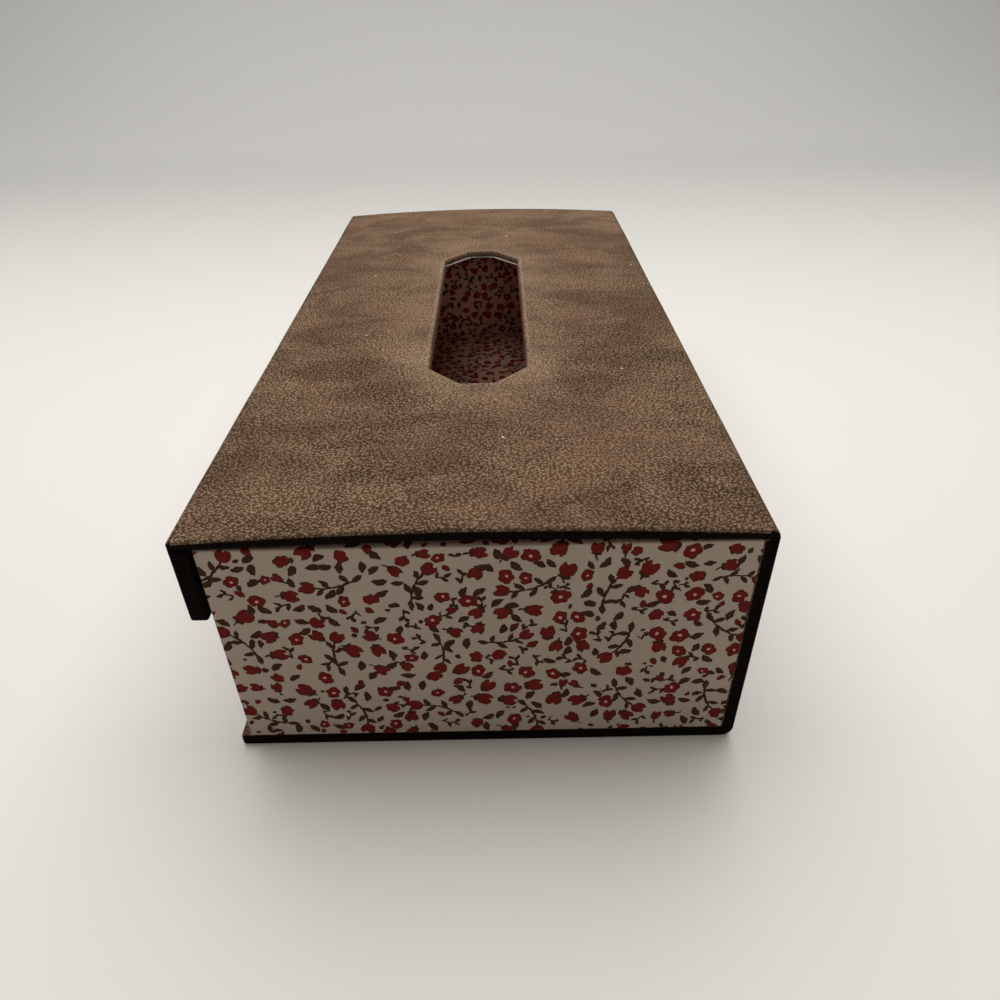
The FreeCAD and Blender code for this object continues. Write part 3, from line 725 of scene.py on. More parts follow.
def new_group(name, inputs, outputs):
    """A shader node group with named sockets; returns it with wires from its inputs and its output node."""
    tree = bpy.data.node_groups.new(name, "ShaderNodeTree")
    for label, kind in inputs:
        tree.interface.new_socket(label, in_out="INPUT", socket_type=kind)
    for label, kind in outputs:
        tree.interface.new_socket(label, in_out="OUTPUT", socket_type=kind)
    entry = tree.nodes.new("NodeGroupInput")
    leave = tree.nodes.new("NodeGroupOutput")
    wires = {label: Wire(tree, entry.outputs[label]) for label, _ in inputs}
    return tree, wires, leave


def use_group(tree, name, **inputs):
    """Places a group in a tree, feeds its inputs and returns its outputs as wires by name."""
    node = tree.nodes.new("ShaderNodeGroup")
    node.node_tree = bpy.data.node_groups[name]
    put(tree, node, **inputs)
    return {output.name: Wire(tree, output) for output in node.outputs}


# ---------------------------------------------------------------------------------------------------------
# The floral print
# ---------------------------------------------------------------------------------------------------------

# Added to the distance outside a motif, in millimetres, where the motif is left out
LEFT_OUT = 50.0

# Widths of the dark line round a leaf and round a petal, in millimetres
LEAF_LINE = 0.24
PETAL_LINE = 0.17

# How far the print is shifted along a face, in millimetres, so that no two faces show the same part of it
SHIFT_RIGHT, SHIFT_BACK, SHIFT_UP = 53.0, 31.0, 77.0
SHIFT_SIDES, SHIFT_LEVEL = 211.0, 97.0
# The share of that by which it is shifted up the face too
SHIFT_SLOPE = 0.37


def scatter(tree, place, cell, randomness, shift):
    """One motif's middle in each cell of a jittered grid that is shifted by a share of a cell.

    Returns the middle, the place's two coordinates from it along axes that are turned at random, two more
    random numbers, and the room: half the distance to the nearest other middle.
    """
    offset = (shift, shift * 0.7, 0.0)
    nearest = scattered_points(tree, place.scaled(1.0 / cell).shifted(*offset), 1.0, randomness=randomness)
    border = scattered_points(
        tree, nearest["Position"], 1.0, randomness=randomness, feature="DISTANCE_TO_EDGE"
    )
    chance = tree.nodes.new("ShaderNodeSeparateColor")
    put(tree, chance, Color=nearest["Color"])
    turn, first, second = [Wire(tree, output) for output in chance.outputs]
    middle = nearest["Position"].vector("SUBTRACT", offset).scaled(cell)
    x, y, _ = place.vector("SUBTRACT", middle).parts()
    angle = turn * (2 * math.pi)
    cosine = angle.math("COSINE")
    sine = angle.math("SINE")
    return middle, x * cosine + y * sine, y * cosine - x * sine, (first, second), border["Distance"] * cell


def turned_fixed(u, v, x, y, degrees):
    """Coordinates along axes at (x, y) that are turned by a fixed angle."""
    cosine = math.cos(math.radians(degrees))
    sine = math.sin(math.radians(degrees))
    du = u - x
    dv = v - y
    return du * cosine + dv * sine, dv * cosine - du * sine


def leaf_distance(u, v, half_length, half_width, bend=0.0):
    """About the distance outside a pointed leaf along u.

    Its half width is half_width * (1 - (u / half_length)^2), round the line v = -bend * u^2.
    """
    outline = (1.0 - (u / half_length).squared()) * half_width
    across = v + u.squared() * bend if bend else v
    return abs(across) - outline


def stem_distance(u, v, start, stop, bend, half_width):
    """About the distance outside a thin curved stem: a band round v = bend * u^2, between two places of u."""
    middle = (start + stop) / 2
    band = abs(v - u.squared() * bend) - half_width
    return band.largest(abs(u - middle) - (stop - start) / 2)


def bell_distance(u, v, size):
    """About the distance outside a tulip head of a size: an oval, cut off by a line of teeth."""
    oval = ((u / 0.92).squared() + v.squared() * 0.92).math("SQRT") - size
    teeth = v - (size * 0.46) - abs((u / size * 2.7 + 0.5).math("SINE")) * (size * 0.42)
    return oval.largest(teeth)


def build_sprig_group(cell):
    """Long sprigs: a curved stem with five leaves and a tulip head."""
    tree, wires, leave = new_group(
        "print_sprig",
        [("Place", "NodeSocketVector")],
        [("Leaf", "NodeSocketFloat"), ("Bloom", "NodeSocketFloat")],
    )
    _, u, v, (mirror, _), room = scatter(tree, wires["Place"], cell, 0.42, 3.7)
    shrink = (room / (cell * 0.40)).smallest(1.0) * 1.15
    u = u / shrink
    v = (v * (mirror.above(0.5) * 2.0 - 1.0)) / shrink
    leaf = stem_distance(u, v, -4.6, 3.6, 0.045, 0.27)
    leaves = (
        (-5.4, 1.25, -28.0, 1.55, 0.66),
        (-3.0, 1.65, 62.0, 1.45, 0.60),
        (-1.3, -1.05, -48.0, 1.60, 0.66),
        (1.2, 1.25, 50.0, 1.45, 0.60),
        (2.6, -0.65, -38.0, 1.30, 0.56),
    )
    for x, y, degrees, half_length, half_width in leaves:
        leaf_u, leaf_v = turned_fixed(u, v, x, y, degrees)
        leaf = leaf.smallest(leaf_distance(leaf_u, leaf_v, half_length, half_width))
    head_u, head_v = turned_fixed(u, v, 5.0, 1.1, -68.0)
    bloom = bell_distance(head_u, head_v, 1.75)
    put(tree, leave, Leaf=leaf * shrink, Bloom=bloom * shrink)


def build_bloom_group(cell):
    """Flower heads: open ones with scalloped petals, tulip heads on a short stalk, and plain buds."""
    tree, wires, leave = new_group(
        "print_bloom",
        [("Place", "NodeSocketVector")],
        [("Bloom", "NodeSocketFloat"), ("Leaf", "NodeSocketFloat"), ("Eye", "NodeSocketFloat")],
    )
    centre, u, v, (kind, shape), room = scatter(tree, wires["Place"], cell, 0.72, 11.3)
    is_open = kind.below(0.42)
    is_bud = kind.above(0.80)
    is_tulip = 1.0 - is_open - is_bud
    size = (room * 0.98).smallest(shape * 0.6 + 1.75).largest(1.35) * (1.0 - is_bud * 0.30)
    reach = (u.squared() + v.squared()).math("SQRT")
    bearing = v.math("ARCTAN2", u)
    petals = abs((bearing * 2.5 + shape * 6.0).math("COSINE")) * 0.17 + 0.84
    lopsided = (bearing * 2.0 + shape * 9.0).math("SINE") * 0.10 + (bearing + shape * 4.0).math("SINE") * 0.08
    open_head = reach - (petals + lopsided) * size
    tulip = bell_distance(u, v, size * 0.98)
    bud = leaf_distance(u, v, size * 1.05, size * 0.66, 0.10)
    head = open_head * is_open + tulip * is_tulip + bud * is_bud
    stalk = stem_distance(v + size, u, -1.9, 0.2, 0.16, 0.26)
    calyx = leaf_distance(u, v + size * 0.98, size * 0.72, size * 0.40)
    stalk = stalk.smallest(calyx) + is_tulip.below(0.5) * LEFT_OUT
    taken = use_group(tree, "print_sprig", Place=centre)
    clear = taken["Leaf"].smallest(taken["Bloom"]).above(size * 0.95)
    absent = (1.0 - clear) * LEFT_OUT
    eye = reach - size * 0.2 + is_open.below(0.5) * LEFT_OUT + shape.below(0.35) * LEFT_OUT
    put(tree, leave, Bloom=head + absent, Leaf=stalk + absent, Eye=eye + absent)


def build_leaf_group(cell):
    """Single leaves, forked twigs and specks in what the sprigs and flower heads leave free."""
    tree, wires, leave = new_group(
        "print_leaf", [("Place", "NodeSocketVector")], [("Leaf", "NodeSocketFloat")]
    )
    centre, u, v, (kind, _), room = scatter(tree, wires["Place"], cell, 0.70, 23.9)
    size = (room * 1.45).smallest(1.95).largest(0.95)
    single = leaf_distance(u, v, size, size * 0.46 + 0.06, 0.10)
    twig = stem_distance(u, v, -2.2, 1.5, 0.10, 0.27)
    for x, y, degrees in ((-1.3, 0.80, 55.0), (0.6, -0.75, -40.0), (1.4, 0.70, 30.0)):
        twig_u, twig_v = turned_fixed(u, v, x, y, degrees)
        twig = twig.smallest(leaf_distance(twig_u, twig_v, 1.15, 0.48))
    speck = leaf_distance(u, v, size * 0.50, size * 0.34)
    is_twig = kind.above(0.72)
    is_speck = kind.below(0.14)
    leaf = single * (1.0 - is_twig - is_speck) + twig * is_twig + speck * is_speck
    sprig = use_group(tree, "print_sprig", Place=centre)
    bloom = use_group(tree, "print_bloom", Place=centre)
    taken = sprig["Leaf"].smallest(sprig["Bloom"]).smallest(bloom["Bloom"]).smallest(bloom["Leaf"])
    needed = size * 0.50 * (1.0 - is_speck) + is_speck * 0.55
    put(tree, leave, Leaf=leaf + taken.below(needed) * LEFT_OUT)


def build_print_group(paper):
    """The whole print: paper, leaves with pale middles, outlined petals and pale eyes."""
    build_sprig_group(paper.sprig_cell * PER_METRE)
    build_bloom_group(paper.bloom_cell * PER_METRE)
    build_leaf_group(paper.leaf_cell * PER_METRE)
    inks = ("Ground", "Petal", "Petal Edge", "Leaf", "Leaf Middle", "Eye")
    tree, wires, leave = new_group(
        "floral_print",
        [("Place", "NodeSocketVector")] + [(label, "NodeSocketColor") for label in inks],
        [("Color", "NodeSocketColor"), ("Ink", "NodeSocketFloat")],
    )
    place = wires["Place"]
    place = place.vector("ADD", drift(tree, place, scale=0.8, detail=2.0, amount=1.0))
    sprig = use_group(tree, "print_sprig", Place=place)
    bloom = use_group(tree, "print_bloom", Place=place)
    single = use_group(tree, "print_leaf", Place=place)
    leaf = sprig["Leaf"].smallest(bloom["Leaf"]).smallest(single["Leaf"])
    petal = sprig["Bloom"].smallest(bloom["Bloom"])
    colour = blend_colours(tree, leaf.below(0.0), wires["Ground"], wires["Leaf"])
    colour = blend_colours(tree, leaf.below(-LEAF_LINE) * 0.8, colour, wires["Leaf Middle"])
    colour = blend_colours(tree, petal.below(0.0), colour, wires["Petal Edge"])
    colour = blend_colours(tree, petal.below(-PETAL_LINE), colour, wires["Petal"])
    colour = blend_colours(tree, bloom["Eye"].below(0.0), colour, wires["Eye"])
    put(tree, leave, Color=colour, Ink=leaf.smallest(petal).below(0.0))


def new_place_group(name):
    """A group that turns a place on the surface and its normal into flat coordinates in millimetres.

    Returns its tree, the place's three coordinates in millimetres, the normal's three, and the output node.
    """
    tree, wires, leave = new_group(
        name,
        [("Object", "NodeSocketVector"), ("Normal", "NodeSocketVector")],
        [("Place", "NodeSocketVector")],
    )
    return tree, wires["Object"].millimetres(), wires["Normal"].parts(), leave


def build_sheet_group():
    """Flat coordinates on a sheet that faces along X, Y or Z, with each face shifted."""
    tree, (x, y, z), (facing_x, facing_y, facing_z), leave = new_place_group("sheet_place")
    on_x = abs(facing_x).above(0.7)
    on_y = abs(facing_y).above(0.7)
    on_z = 1.0 - on_x.largest(on_y)
    shift = on_x * SHIFT_SIDES + on_z * SHIFT_LEVEL
    for facing, step in ((facing_x, SHIFT_RIGHT), (facing_y, SHIFT_BACK), (facing_z, SHIFT_UP)):
        shift = shift + facing.above(0.0) * step
    across = y * on_x + x * on_y + x * on_z
    up = z * on_x + z * on_y + y * on_z
    put(tree, leave, Place=join(tree, across + shift, up + shift * SHIFT_SLOPE))


def build_wrap_group():
    """Flat coordinates on the tray's wrap, as if it were unfolded.

    Across runs along the wall. Up is the height on a wall's outside, goes on over the rim by the distance
    from the outside, and goes on down the inside by the depth below the rim.
    """
    tree, (x, y, z), (facing_x, facing_y, _), leave = new_place_group("wrap_place")
    (left, right), (front, back) = span("tray_wrap", 0), span("tray_wrap", 1)
    from_left, from_right = x - left, right - x
    from_front, from_back = y - front, back - y
    to_end = from_front.smallest(from_back)
    to_side = from_left.smallest(from_right)
    on_end = to_end.below(to_side)
    on_side = 1.0 - on_end
    is_back = from_back.below(from_front)
    is_right = from_right.below(from_left)
    outwards_y = facing_y * (is_back * 2.0 - 1.0)
    outwards_x = facing_x * (is_right * 2.0 - 1.0)
    inside = (outwards_y * on_end + outwards_x * on_side).below(-0.5)
    up = z * (1.0 - inside) + (2.0 * PLACE["rim"] - z) * inside + to_end.smallest(to_side)
    across = x * on_end + y * on_side
    shift = is_back * on_end * SHIFT_BACK + on_side * SHIFT_SIDES + is_right * on_side * SHIFT_RIGHT
    put(tree, leave, Place=join(tree, across + shift, up + shift * SHIFT_SLOPE))


# ---------------------------------------------------------------------------------------------------------
# The leather's surface
# ---------------------------------------------------------------------------------------------------------

# Pebbles of the grain per millimetre, and the finer ones between them
PEBBLE_SCALE = 1.30
FINE_PEBBLE_SCALE = 3.1

# Pale flecks: per millimetre, and their radius in millimetres
FLECK_SCALE = 0.0135
FLECK_RADIUS = 0.43

# From here on along the lid, in millimetres from its middle, leather that turns down belongs to its two ends
LID_ENDS_FROM = 100.0

WARM_BROWN = (0.150, 0.075, 0.050)
PALE_FLECK = (0.62, 0.55, 0.47)


def build_hide_group():
    """Flat coordinates on the leather, as if it were peeled off.

    Across is X on top and goes on down the long sides by the depth under the top. Along is Y, and goes on
    down the ends by that depth. Faces that look down keep X and Y.
    """
    tree, (x, y, z), (_, facing_y, facing_z), leave = new_place_group("hide_place")
    depth = (PLACE["apex"] - z) * facing_z.above(-0.5)
    on_end = abs(facing_y).above(0.7)
    across = x + depth * (x.above(0.0) * 2.0 - 1.0)
    along = y + depth * on_end * (y.above(0.0) * 2.0 - 1.0)
    put(tree, leave, Place=join(tree, across, along))


def build_leather_group():
    """A mottled, pebbled hide: colour, height of the grain and roughness.

    Object is the place in space, for clouds, and Flat the place on the peeled-off hide, for the grain. Edge
    is 1 where the leather is painted near-black: burnish on the edges, and painted shade on ends and rounds
    that lie in shade. The rub input is 1 where hands have worn the hide lighter, and on painted highlights
    along the opening and the lid's ends. Grain says how strongly the pebbles stand out; their pale tops are
    partly rubbed and partly a painted highlight. All scales are per millimetre.
    """
    tree, wires, leave = new_group(
        "pebbled_leather",
        [("Object", "NodeSocketVector"), ("Flat", "NodeSocketVector")]
        + [(label, "NodeSocketFloat") for label in ("Edge", "Rub", "Grain")]
        + [(label, "NodeSocketColor") for label in ("Dark", "Middle", "Light", "Burnished")],
        [("Color", "NodeSocketColor"), ("Height", "NodeSocketFloat"), ("Roughness", "NodeSocketFloat")],
    )
    grain, edge = wires["Grain"], wires["Edge"]
    place = wires["Object"].scaled(PER_METRE)
    wander = drift(tree, place, scale=0.16, detail=3.0, amount=2.4)
    bent = wires["Flat"].vector("ADD", wander).stretched(0.88, 1.0, 0.0)
    pebble = 1.0 - scattered_points(tree, bent, PEBBLE_SCALE)["Distance"].ramp(0.04, 0.66, smooth=False)
    fine = 1.0 - scattered_points(tree, bent, FINE_PEBBLE_SCALE)["Distance"].ramp(0.05, 0.60, smooth=False)
    crease = noise(tree, bent, 0.9, 2.0, 0.6).ramp(0.30, 0.70)
    height = pebble.squared() * (crease * 0.85 + 0.40) + fine * 0.22
    clouds = noise(tree, place, 0.026, 4.0, 0.62, 0.5)
    streaks = noise(tree, place.stretched(0.55, 1.0, 1.0), 0.085, 2.0, 0.55, 0.8)
    mottle = (clouds * 0.54 + streaks * 0.46).ramp(0.38, 0.62)
    warmth = noise(tree, place.shifted(71.0, 13.0, 5.0), 0.034).ramp(0.40, 0.68)
    hollow = blend_colours(tree, mottle * 0.62 + 0.10, wires["Dark"], wires["Middle"])
    # The pebbles' pale tops: partly rubbed leather, partly a painted highlight where the light catches them.
    top = blend_colours(tree, mottle * 0.45 + 0.55, wires["Middle"], wires["Light"])
    level = (height.ramp(0.08, 0.82, smooth=False) - 0.32) * grain + 0.32
    colour = blend_colours(tree, level, hollow, top)
    colour = blend_colours(tree, warmth * 0.22, colour, WARM_BROWN)
    # Paler where hands rubbed the hide, and painted highlights on the opening's rim and the lid's ends.
    colour = blend_colours(tree, wires["Rub"] * (level * 0.8 + 0.3), colour, wires["Light"])
    fleck = scattered_points(tree, wires["Flat"], FLECK_SCALE)["Distance"].below(FLECK_RADIUS * FLECK_SCALE)
    colour = blend_colours(tree, fleck, colour, PALE_FLECK)
    # Edge: a frayed near-black border, partly burnish and partly painted shade on shaded ends and rounds.
    fuzz = noise(tree, place, 1.9, 3.0, 0.6)
    frayed = (edge + (fuzz - 0.5) * 1.1).ramp(0.32, 0.62) * edge.above(0.02)
    colour = blend_colours(tree, frayed * edge.ramp(0.0, 1.0, smooth=False), colour, wires["Burnished"])
    put(
        tree, leave, Color=colour, Height=height * (grain * 0.7 + 0.3),
        Roughness=0.80 - mottle * 0.05 + crease * 0.10,
    )


def new_material(name):
    """An empty material with a Principled shader; returns it with its tree and that shader."""
    material = bpy.data.materials.new(name)
    material.use_nodes = True
    tree = material.node_tree
    shader = tree.nodes["Principled BSDF"]
    return material, tree, shader


def texture_places(tree):
    """The surface's own coordinates and its normal in them."""
    node = tree.nodes.new("ShaderNodeTexCoord")
    return Wire(tree, node.outputs["Object"]), Wire(tree, node.outputs["Normal"])


def add_bump(tree, shader, height, distance_mm, strength):
    """Lets a height in the shader's tree shade the surface."""
    bump = tree.nodes.new("ShaderNodeBump")
    put(tree, bump, Distance=distance_mm * MM, Strength=strength, Height=height)
    tree.links.new(bump.outputs["Normal"], shader.inputs["Normal"])


def leather_material(name, leather, edge_mask, rub_and_highlight_mask=None, grain=None):
    """Mottled leather. The three masks are functions that make a wire from the place.

    edge_mask is 1 where the leather is painted near-black, for burnish on a board's edge and for shade on
    shaded ends, the rub mask where hands rub it lighter and where highlights are painted, and grain is the
    strength of the pebbles.
    """
    material, tree, shader = new_material(name)
    place, normal = texture_places(tree)
    surface = use_group(
        tree, "pebbled_leather", Object=place,
        Flat=use_group(tree, "hide_place", Object=place, Normal=normal)["Place"],
        Edge=edge_mask(place),
        Rub=rub_and_highlight_mask(place) if rub_and_highlight_mask else 0.0,
        Grain=grain(place) if grain else 0.9,
        Dark=tuple(leather.dark), Middle=tuple(leather.middle), Light=tuple(leather.light),
        Burnished=tuple(leather.burnish_and_shade),
    )
    put(
        tree, shader, Base_Color=surface["Color"], Roughness=surface["Roughness"], Specular_IOR_Level=0.03
    )
    add_bump(tree, shader, surface["Height"], 0.26, 0.9)
    return material


def boards_mask(place):
    """1 on the last half millimetre at both ends, and on the leather that is turned in at the flap's ends;
    there the leather is painted near-black, partly burnish and partly painted shade.
    """
    x, y, z = place.millimetres()
    along = abs(y)
    end = PLACE["half_length"]
    inner = x.above(PLACE["flap_outside"] + 1.0) * x.below(PLACE["flap_inside"] + 1.0)
    near_end = along.above(end - 4.0) * z.above(PLACE["flap_bottom"] - 1.0)
    return along.ramp(end - 0.55, end - 0.20).largest(inner * near_end)


def under_crown(place):
    """How far a place lies under the bowed top of the lid, in millimetres: apex - z - x^2 / (2 * radius)."""
    x, _, z = place.millimetres()
    radius = crown_radius(bpy.context.scene.tissue_box_leather.lid_crown * PER_METRE)
    return PLACE["apex"] - z - x.squared() / (2 * radius)


def lid_mask(place):
    """1 where the lid's leather turns down at its two ends, and less just before them and in the opening.
    This near-black is partly burnish and partly painted shade on the rounded ends and the opening's wall.
    """
    opening = in_millimetres(bpy.context.scene.tissue_box_opening)
    opening_end = opening["length"] / 2
    along = abs(place.millimetres()[1])
    at_end = along.above(LID_ENDS_FROM)
    depth = under_crown(place)
    slanting = along.above(opening_end - opening["taper"] - 2.25)
    # Painted shade with burnish down the opening's wall, more at its slanting ends than along its sides.
    wall = depth.ramp(0.9, 2.6) * (slanting * 0.4 + 0.25)
    # Painted shade with burnish on the top just before the ends, where the leather rounds over.
    darker = along.ramp(PLACE["half_length"] - 3.2, PLACE["half_length"] - 0.5) * 0.42
    return depth.ramp(0.35, 0.95).largest(darker) * at_end + wall * (1.0 - at_end)


def opening_distance(place):
    """How far a place on the lid lies outside the eight-sided opening, in millimetres."""
    opening = in_millimetres(bpy.context.scene.tissue_box_opening)
    half_width, half_length, across, along, slanting = opening_sides(opening)
    x, y, _ = [abs(part) for part in place.millimetres()]
    return (x - half_width).largest(y - half_length).largest(x * across + y * along - slanting)


def lid_rub_and_highlights(place):
    """Paler leather: worn patches round the opening and scuffs, and painted highlights: a thin rim round the
    opening and a line along the lid's ends.
    """
    tree = place.tree
    y = place.millimetres()[1]
    away = opening_distance(place)
    patchy = noise(tree, place, 55.0, 3.0, 0.6).ramp(0.30, 0.70)
    near_front = 1.0 - y.ramp(-60.0, -20.0)
    halo = (1.0 - away.ramp(1.0, 21.0)) * (patchy * 0.6 + 0.4) * (near_front * 0.30 + 0.40)
    # Painted highlight: a thin pale line round the opening, where its raised rim catches the light.
    rim = away.ramp(0.1, 0.6) * (1.0 - away.ramp(1.3, 2.0)) * 0.70
    scuff = noise(tree, place.shifted(0.14, 0.02, 0.0), 60.0, 4.0, 0.65).ramp(0.62, 0.76) * 0.40
    # Painted highlight: a pale line along the top of the lid's ends.
    lip = abs(y).ramp(PLACE["half_length"] - 1.8, PLACE["half_length"] - 0.8) * 0.14
    return halo.largest(rim).largest(scuff).largest(lip)


def lid_grain(place):
    """The pebbles stand out most at the front of the lid and are flatter towards its back."""
    return 1.0 - place.millimetres()[1].ramp(-40.0, 120.0) * 0.45


# ---------------------------------------------------------------------------------------------------------
# Paper, card, board and magnets
# ---------------------------------------------------------------------------------------------------------


# The flap lining's cut edge, near-black: stained with the leather's burnish, and painted shade on the flap's
# shaded end
GLUE_AND_SHADE = (0.006, 0.004, 0.003)


def times(colour, factor):
    """A colour made lighter or darker by a factor."""
    return tuple(min(1.0, channel * factor) for channel in colour)


def print_material(name, paper, ground, inks=1.0, mapping="sheet_place", cut_edge=None):
    """Matte printed paper, faintly soiled and with fibres; inks above 1 prints paler.

    cut_edge is for a card: a function that makes a wire from the normal, 1 on the printed face, and the
    colour of the card's cut edge where glue and leather hide its core; on the flap's card that colour is also
    painted shade.
    """
    material, tree, shader = new_material(name)
    place, normal = texture_places(tree)
    printed = use_group(
        tree, "floral_print", Place=use_group(tree, mapping, Object=place, Normal=normal)["Place"],
        Ground=tuple(ground), Petal=times(paper.petal, inks), Petal_Edge=times(paper.petal_edge, inks),
        Leaf=times(paper.leaf, inks), Leaf_Middle=times(paper.leaf_middle, inks), Eye=tuple(paper.eye),
    )
    ink = printed["Ink"]
    soil = noise(tree, place, 22.0, 4.0, 0.6).ramp(0.42, 0.75) * (1.0 - ink) * 0.30
    soiled = tuple(channel * share for channel, share in zip(ground, (0.80, 0.76, 0.72)))
    colour = blend_colours(tree, soil, printed["Color"], soiled)
    fibres = noise(tree, place.stretched(1.0, 1.0, 2.6), 900.0, 3.0, 0.6).ramp(0.35, 0.75)
    colour = blend_colours(tree, fibres * (1.0 - ink * 0.8) * 0.12, colour, (0.30, 0.25, 0.21))
    if cut_edge:
        printed_face, edge_colour = cut_edge
        edge = blend_colours(tree, cut_ends(place), edge_colour, tuple(paper.core))
        colour = blend_colours(tree, printed_face(normal), edge, colour)
    put(tree, shader, Base_Color=colour, Roughness=0.8, Specular_IOR_Level=0.06)
    add_bump(tree, shader, noise(tree, place, 420.0, 4.0, 0.65) + ink * 0.10, 0.035, 0.5)
    return material


def cut_ends(place):
    """1 on the opening's slanting ends, where a lining card's core shows in its cut edge."""
    opening = in_millimetres(bpy.context.scene.tissue_box_opening)
    end = opening["length"] / 2
    start = end - opening["taper"]
    corner = opening["flat"] / 2
    x, y, _ = [abs(part) for part in place.millimetres()]
    slanting = y.ramp(start - 1.25, start + 0.75) * y.below(end + 6.75)
    return slanting * (x.ramp(corner - 3.0, corner + 1.0) * 0.55 + 0.45)


def faces_down(normal):
    """1 on the printed face of the lid's lining card."""
    return normal.parts()[2].below(-0.6)


def faces_tray(normal):
    """1 on the printed face of the flap's lining card."""
    return normal.parts()[0].above(0.6)


def board_material(board):
    """Grey board: pressed pulp with specks."""
    material, tree, shader = new_material("grey_board")
    place, _ = texture_places(tree)
    pulp = noise(tree, place, 700.0, 4.0, 0.7)
    specks = scattered_points(tree, place, 1600.0, "3D")["Distance"].below(0.16)
    colour = blend_colours(tree, pulp.ramp(0.3, 0.7), times(board, 0.62), times(board, 1.25))
    colour = blend_colours(tree, specks * 0.55, colour, (0.09, 0.08, 0.07))
    put(tree, shader, Base_Color=colour, Roughness=0.9, Specular_IOR_Level=0.2)
    add_bump(tree, shader, pulp, 0.08, 0.6)
    return material


def magnet_material():
    """Nickel-plated magnet with fine turning marks."""
    material, tree, shader = new_material("nickel")
    place, _ = texture_places(tree)
    marks = noise(tree, place, 1500.0, 3.0, 0.6)
    colour = blend_colours(tree, marks.ramp(0.3, 0.7), (0.52, 0.51, 0.50), (0.66, 0.65, 0.64))
    put(tree, shader, Base_Color=colour, Roughness=marks * 0.2 + 0.18, Metallic=1.0)
    return material


def set_material(piece, material):
    """Gives a piece one material in every slot."""
    if not piece.data.materials:
        piece.data.materials.append(material)
    for slot in piece.material_slots:
        slot.material = material


def ensure_groups(scene):
    """Makes the shared node groups on first use."""
    if "pebbled_leather" not in bpy.data.node_groups:
        build_hide_group()
        build_leather_group()
    if "floral_print" not in bpy.data.node_groups:
        build_print_group(scene.tissue_box_paper)
        build_sheet_group()
        build_wrap_group()


def edged_leather(scene):
    """Leather for covered boards and folds, near-black at the ends for burnish and painted shade; made on
    first use.
    """
    name = "leather_boards"
    return bpy.data.materials.get(name) or leather_material(name, scene.tissue_box_leather, boards_mask)


# ---------------------------------------------------------------------------------------------------------
# Operators
# ---------------------------------------------------------------------------------------------------------


class TISSUEBOX_OT_lid_leather(bpy.types.Operator):
    """Covers the bowed lid and lines its opening's wall with leather"""

    bl_idname = "tissue_box.lid_leather"
    bl_label = "Lid leather"

    def execute(self, context):
        leather = context.scene.tissue_box_leather
        ensure_groups(context.scene)
        points = lid_surface(in_millimetres(context.scene.tissue_box_opening), leather)
        points = uneven(points, leather.unevenness * PER_METRE)
        piece = mesh_from_grid("lid_leather", points, close_rows=True)
        set_material(piece, leather_material("leather_lid", leather, lid_mask, lid_rub_and_highlights, lid_grain))
        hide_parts("lid_cover")
        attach(piece, LID)
        return {"FINISHED"}


class TISSUEBOX_OT_case_leather(bpy.types.Operator):
    """Covers the base and the spine in one piece, round the lower fold"""

    bl_idname = "tissue_box.case_leather"
    bl_label = "Base and spine leather"

    def execute(self, context):
        leather = context.scene.tissue_box_leather
        ensure_groups(context.scene)
        edge = leather.edge_round * PER_METRE
        left, outside = PLACE["base_left"], PLACE["outside"]
        inside, top, rim = PLACE["spine_inside"], PLACE["base_top"], PLACE["rim"]
        fold = PLACE["lid_fold_bottom"]
        skin = leather.fold_thickness * PER_METRE
        corners = [
            (left, 0.0), (outside, 0.0), (outside, fold), (outside - skin, fold),
            (outside - skin - SKIN_STEP, rim), (inside, rim), (inside, top), (left, top),
        ]
        lower_fold = outside - PLACE["lid_right"] + 0.6
        radii = [edge, lower_fold, CRISP, CRISP, CRISP, SOFT, CRISP, edge]
        outline = rounded_outline(corners, radii)
        piece = carry_outline("case_leather", outline, edge, leather, (outside, inside, rim))
        set_material(piece, edged_leather(context.scene))
        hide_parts("base_cover", "spine_cover")
        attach(piece, CASE)
        return {"FINISHED"}


class TISSUEBOX_OT_flap_leather(bpy.types.Operator):
    """Covers the closing flap"""

    bl_idname = "tissue_box.flap_leather"
    bl_label = "Flap leather"

    def execute(self, context):
        leather = context.scene.tissue_box_leather
        ensure_groups(context.scene)
        edge = leather.edge_round * PER_METRE
        left, right = PLACE["flap_outside"], PLACE["flap_inside"]
        bottom, top = PLACE["flap_bottom"], PLACE["flap_top"] + 0.25
        skin = leather.fold_thickness * PER_METRE
        fold = PLACE["flap_fold_bottom"]
        corners = [
            (left, bottom), (right, bottom), (right, top), (left + skin + SKIN_STEP, top),
            (left + skin, fold), (left, fold),
        ]
        outline = rounded_outline(corners, [edge, edge, SOFT, CRISP, CRISP, CRISP])
        piece = carry_outline("flap_leather", outline, edge, leather, (left, right, top))
        set_material(piece, edged_leather(context.scene))
        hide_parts("flap_cover")
        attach(piece, FLAP)
        return {"FINISHED"}


